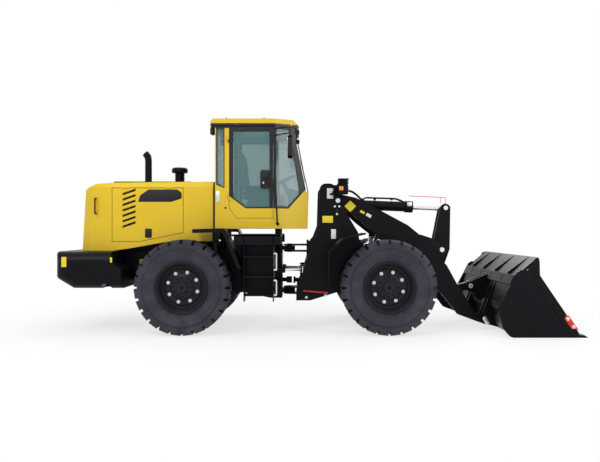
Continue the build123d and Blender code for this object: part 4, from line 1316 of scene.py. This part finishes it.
    def covers(self, side: int, name: str) -> None:
        """The skirt below the deck's edge and the bolted wing of the frame's end plate."""
        skirt = Shape().plate((-0.8365, side * 1.093, 1.3185), (0.647, 0.014, 0.143), 0.003)
        skirt.done(f"deck_skirt_{name}", Finish.BLACK, "rear_frame", "black_paint")
        wing = Shape().plate((-0.54, side * 0.265, 0.65), (0.04, 0.13, 0.18), 0.006)
        for z in (0.59, 0.71):
            wing.bolt((-0.54, side * 0.33, z), (0, side, 0), 0.014)
        wing.done(f"end_wing_{name}", Finish.BLACK, "rear_frame", "black_paint")

    def arm_ear(self, side: int, name: str) -> None:
        """The rounded plate of the arm's bracket that carries the bellcrank's pin."""
        ear = [
            (1.50, 1.04, 0.0), (1.47, 1.395, 0.0), (1.56, 1.385, 0.0), (1.72, 1.332, 0.0),
            (1.90, 1.275, 0.095), (1.985, 1.15, 0.06), (1.905, 1.05, 0.06), (1.65, 1.01, 0.0),
        ]
        plate = Shape().side_slab(eased_outline(ear), (0.0, 0.0), side * 0.224, side, 0.0155, 0.003)
        plate.done(f"arm_ear_{name}", Finish.BLACK, "boom", "black_paint")


# ---- studio --------------------------------------------------------------------------------------------
@dataclass
class Studio:
    """The floor, the light and the camera."""

    camera_back: float = 9.7
    camera_height: float = 1.452
    camera_along: float = -0.252
    lens: float = 37.74
    shift: float = -1.0 / 600.0
    shadow_reach: float = 4.2
    lift: float = 0.7
    sky: float = 0.62
    floor_reach: float = 60.0

    def build(self) -> None:
        """Set up the studio."""
        self.floor()
        self.world()
        self.lamps()
        self.camera()
        bpy.context.scene.view_settings.view_transform = "Standard"

    def floor(self) -> None:
        """A wide pale floor that shows white to the camera and keeps the shadow."""
        mesh = bpy.data.meshes.new("studio_floor")
        reach = self.floor_reach
        corners = [(-reach, -reach, 0.0), (reach, -reach, 0.0), (reach, reach, 0.0), (-reach, reach, 0.0)]
        mesh.from_pydata(corners, [], [(0, 1, 2, 3)])
        floor = linked("studio_floor", mesh)
        shader = Shader("studio_floor")
        pale = shader.node("ShaderNodeBsdfPrincipled", None, {
            "Base Color": shader.mix(shader.noise(0.8, 2.0), (0.86, 0.86, 0.87), (0.9, 0.9, 0.91)),
            "Roughness": 0.8,
        })
        glow = shader.node("ShaderNodeEmission", None, {"Color": WHITE, "Strength": 1.0})
        far = shader.value("ShaderNodeVectorMath", {"operation": "LENGTH"}, {0: shader.place()}, "Value")
        share = shader.seen() * (far.above(self.shadow_reach, 1.5) * (1.0 - self.lift) + self.lift)
        mixed = shader.node("ShaderNodeMixShader", None, {0: share, 1: pale.outputs[0], 2: glow.outputs[0]})
        shader.node("ShaderNodeOutputMaterial", None, {"Surface": mixed.outputs[0]})
        mesh.materials.append(shader.material)

    def world(self) -> None:
        """An even sky that the camera, gloss and glass see as white."""
        shader = Shader("studio_sky", world=True)
        sky = shader.node("ShaderNodeBackground", None, {0: (0.93, 0.96, 1.0, 1.0), 1: self.sky})
        white = shader.node("ShaderNodeBackground", None, {0: WHITE, 1: 1.0})
        inputs = {0: shader.seen(), 1: sky.outputs[0], 2: white.outputs[0]}
        mixed = shader.node("ShaderNodeMixShader", None, inputs)
        shader.node("ShaderNodeOutputWorld", None, {"Surface": mixed.outputs[0]})
        bpy.context.scene.world = shader.material

    def lamps(self) -> None:
        """Soft boxes: a key above the near side, a fill and a back light."""
        table: tuple[tuple[str, Point, Point, float, float], ...] = (
            ("key", (-4.5, -8.0, 8.5), (0.0, 0.0, 1.0), 6.0, 540.0),
            ("fill", (7.0, -6.5, 4.0), (0.5, 0.0, 1.2), 5.0, 210.0),
            ("top", (0.0, 1.0, 10.0), (0.0, 0.0, 0.0), 8.0, 230.0),
            ("back", (4.0, 8.5, 6.0), (0.0, 0.0, 1.0), 5.0, 230.0),
        )
        for name, place, aim, size, power in table:
            data = bpy.data.lights.new(name, "AREA")
            data.shape, data.size, data.energy = "DISK", size, power
            lamp = linked(name, data)
            lamp.location = place
            lamp.rotation_mode = "QUATERNION"
            lamp.rotation_quaternion = (Vector(aim) - Vector(place)).to_track_quat("-Z", "Y")

    def camera(self) -> None:
        """A level camera square to the machine's right side."""
        data = bpy.data.cameras.new("camera")
        data.lens, data.sensor_width = self.lens, 36.0
        data.shift_y = self.shift
        data.clip_end = 200.0
        camera = linked("camera", data)
        camera.location = (self.camera_along, -self.camera_back, self.camera_height)
        camera.rotation_euler = (math.pi / 2, 0.0, 0.0)
        bpy.context.scene.camera = camera


def main() -> None:
    """Dress the frame and set up the studio."""
    logging.basicConfig(level=logging.INFO, format="%(message)s")
    dress_frame()
    for assembly in (Hoses(), Wheels(), Cab(), Seat(), EngineEnd(), ArmEnd(), Outfit(), Studio()):
        assembly.build()


if __name__ == "__main__":
    main()
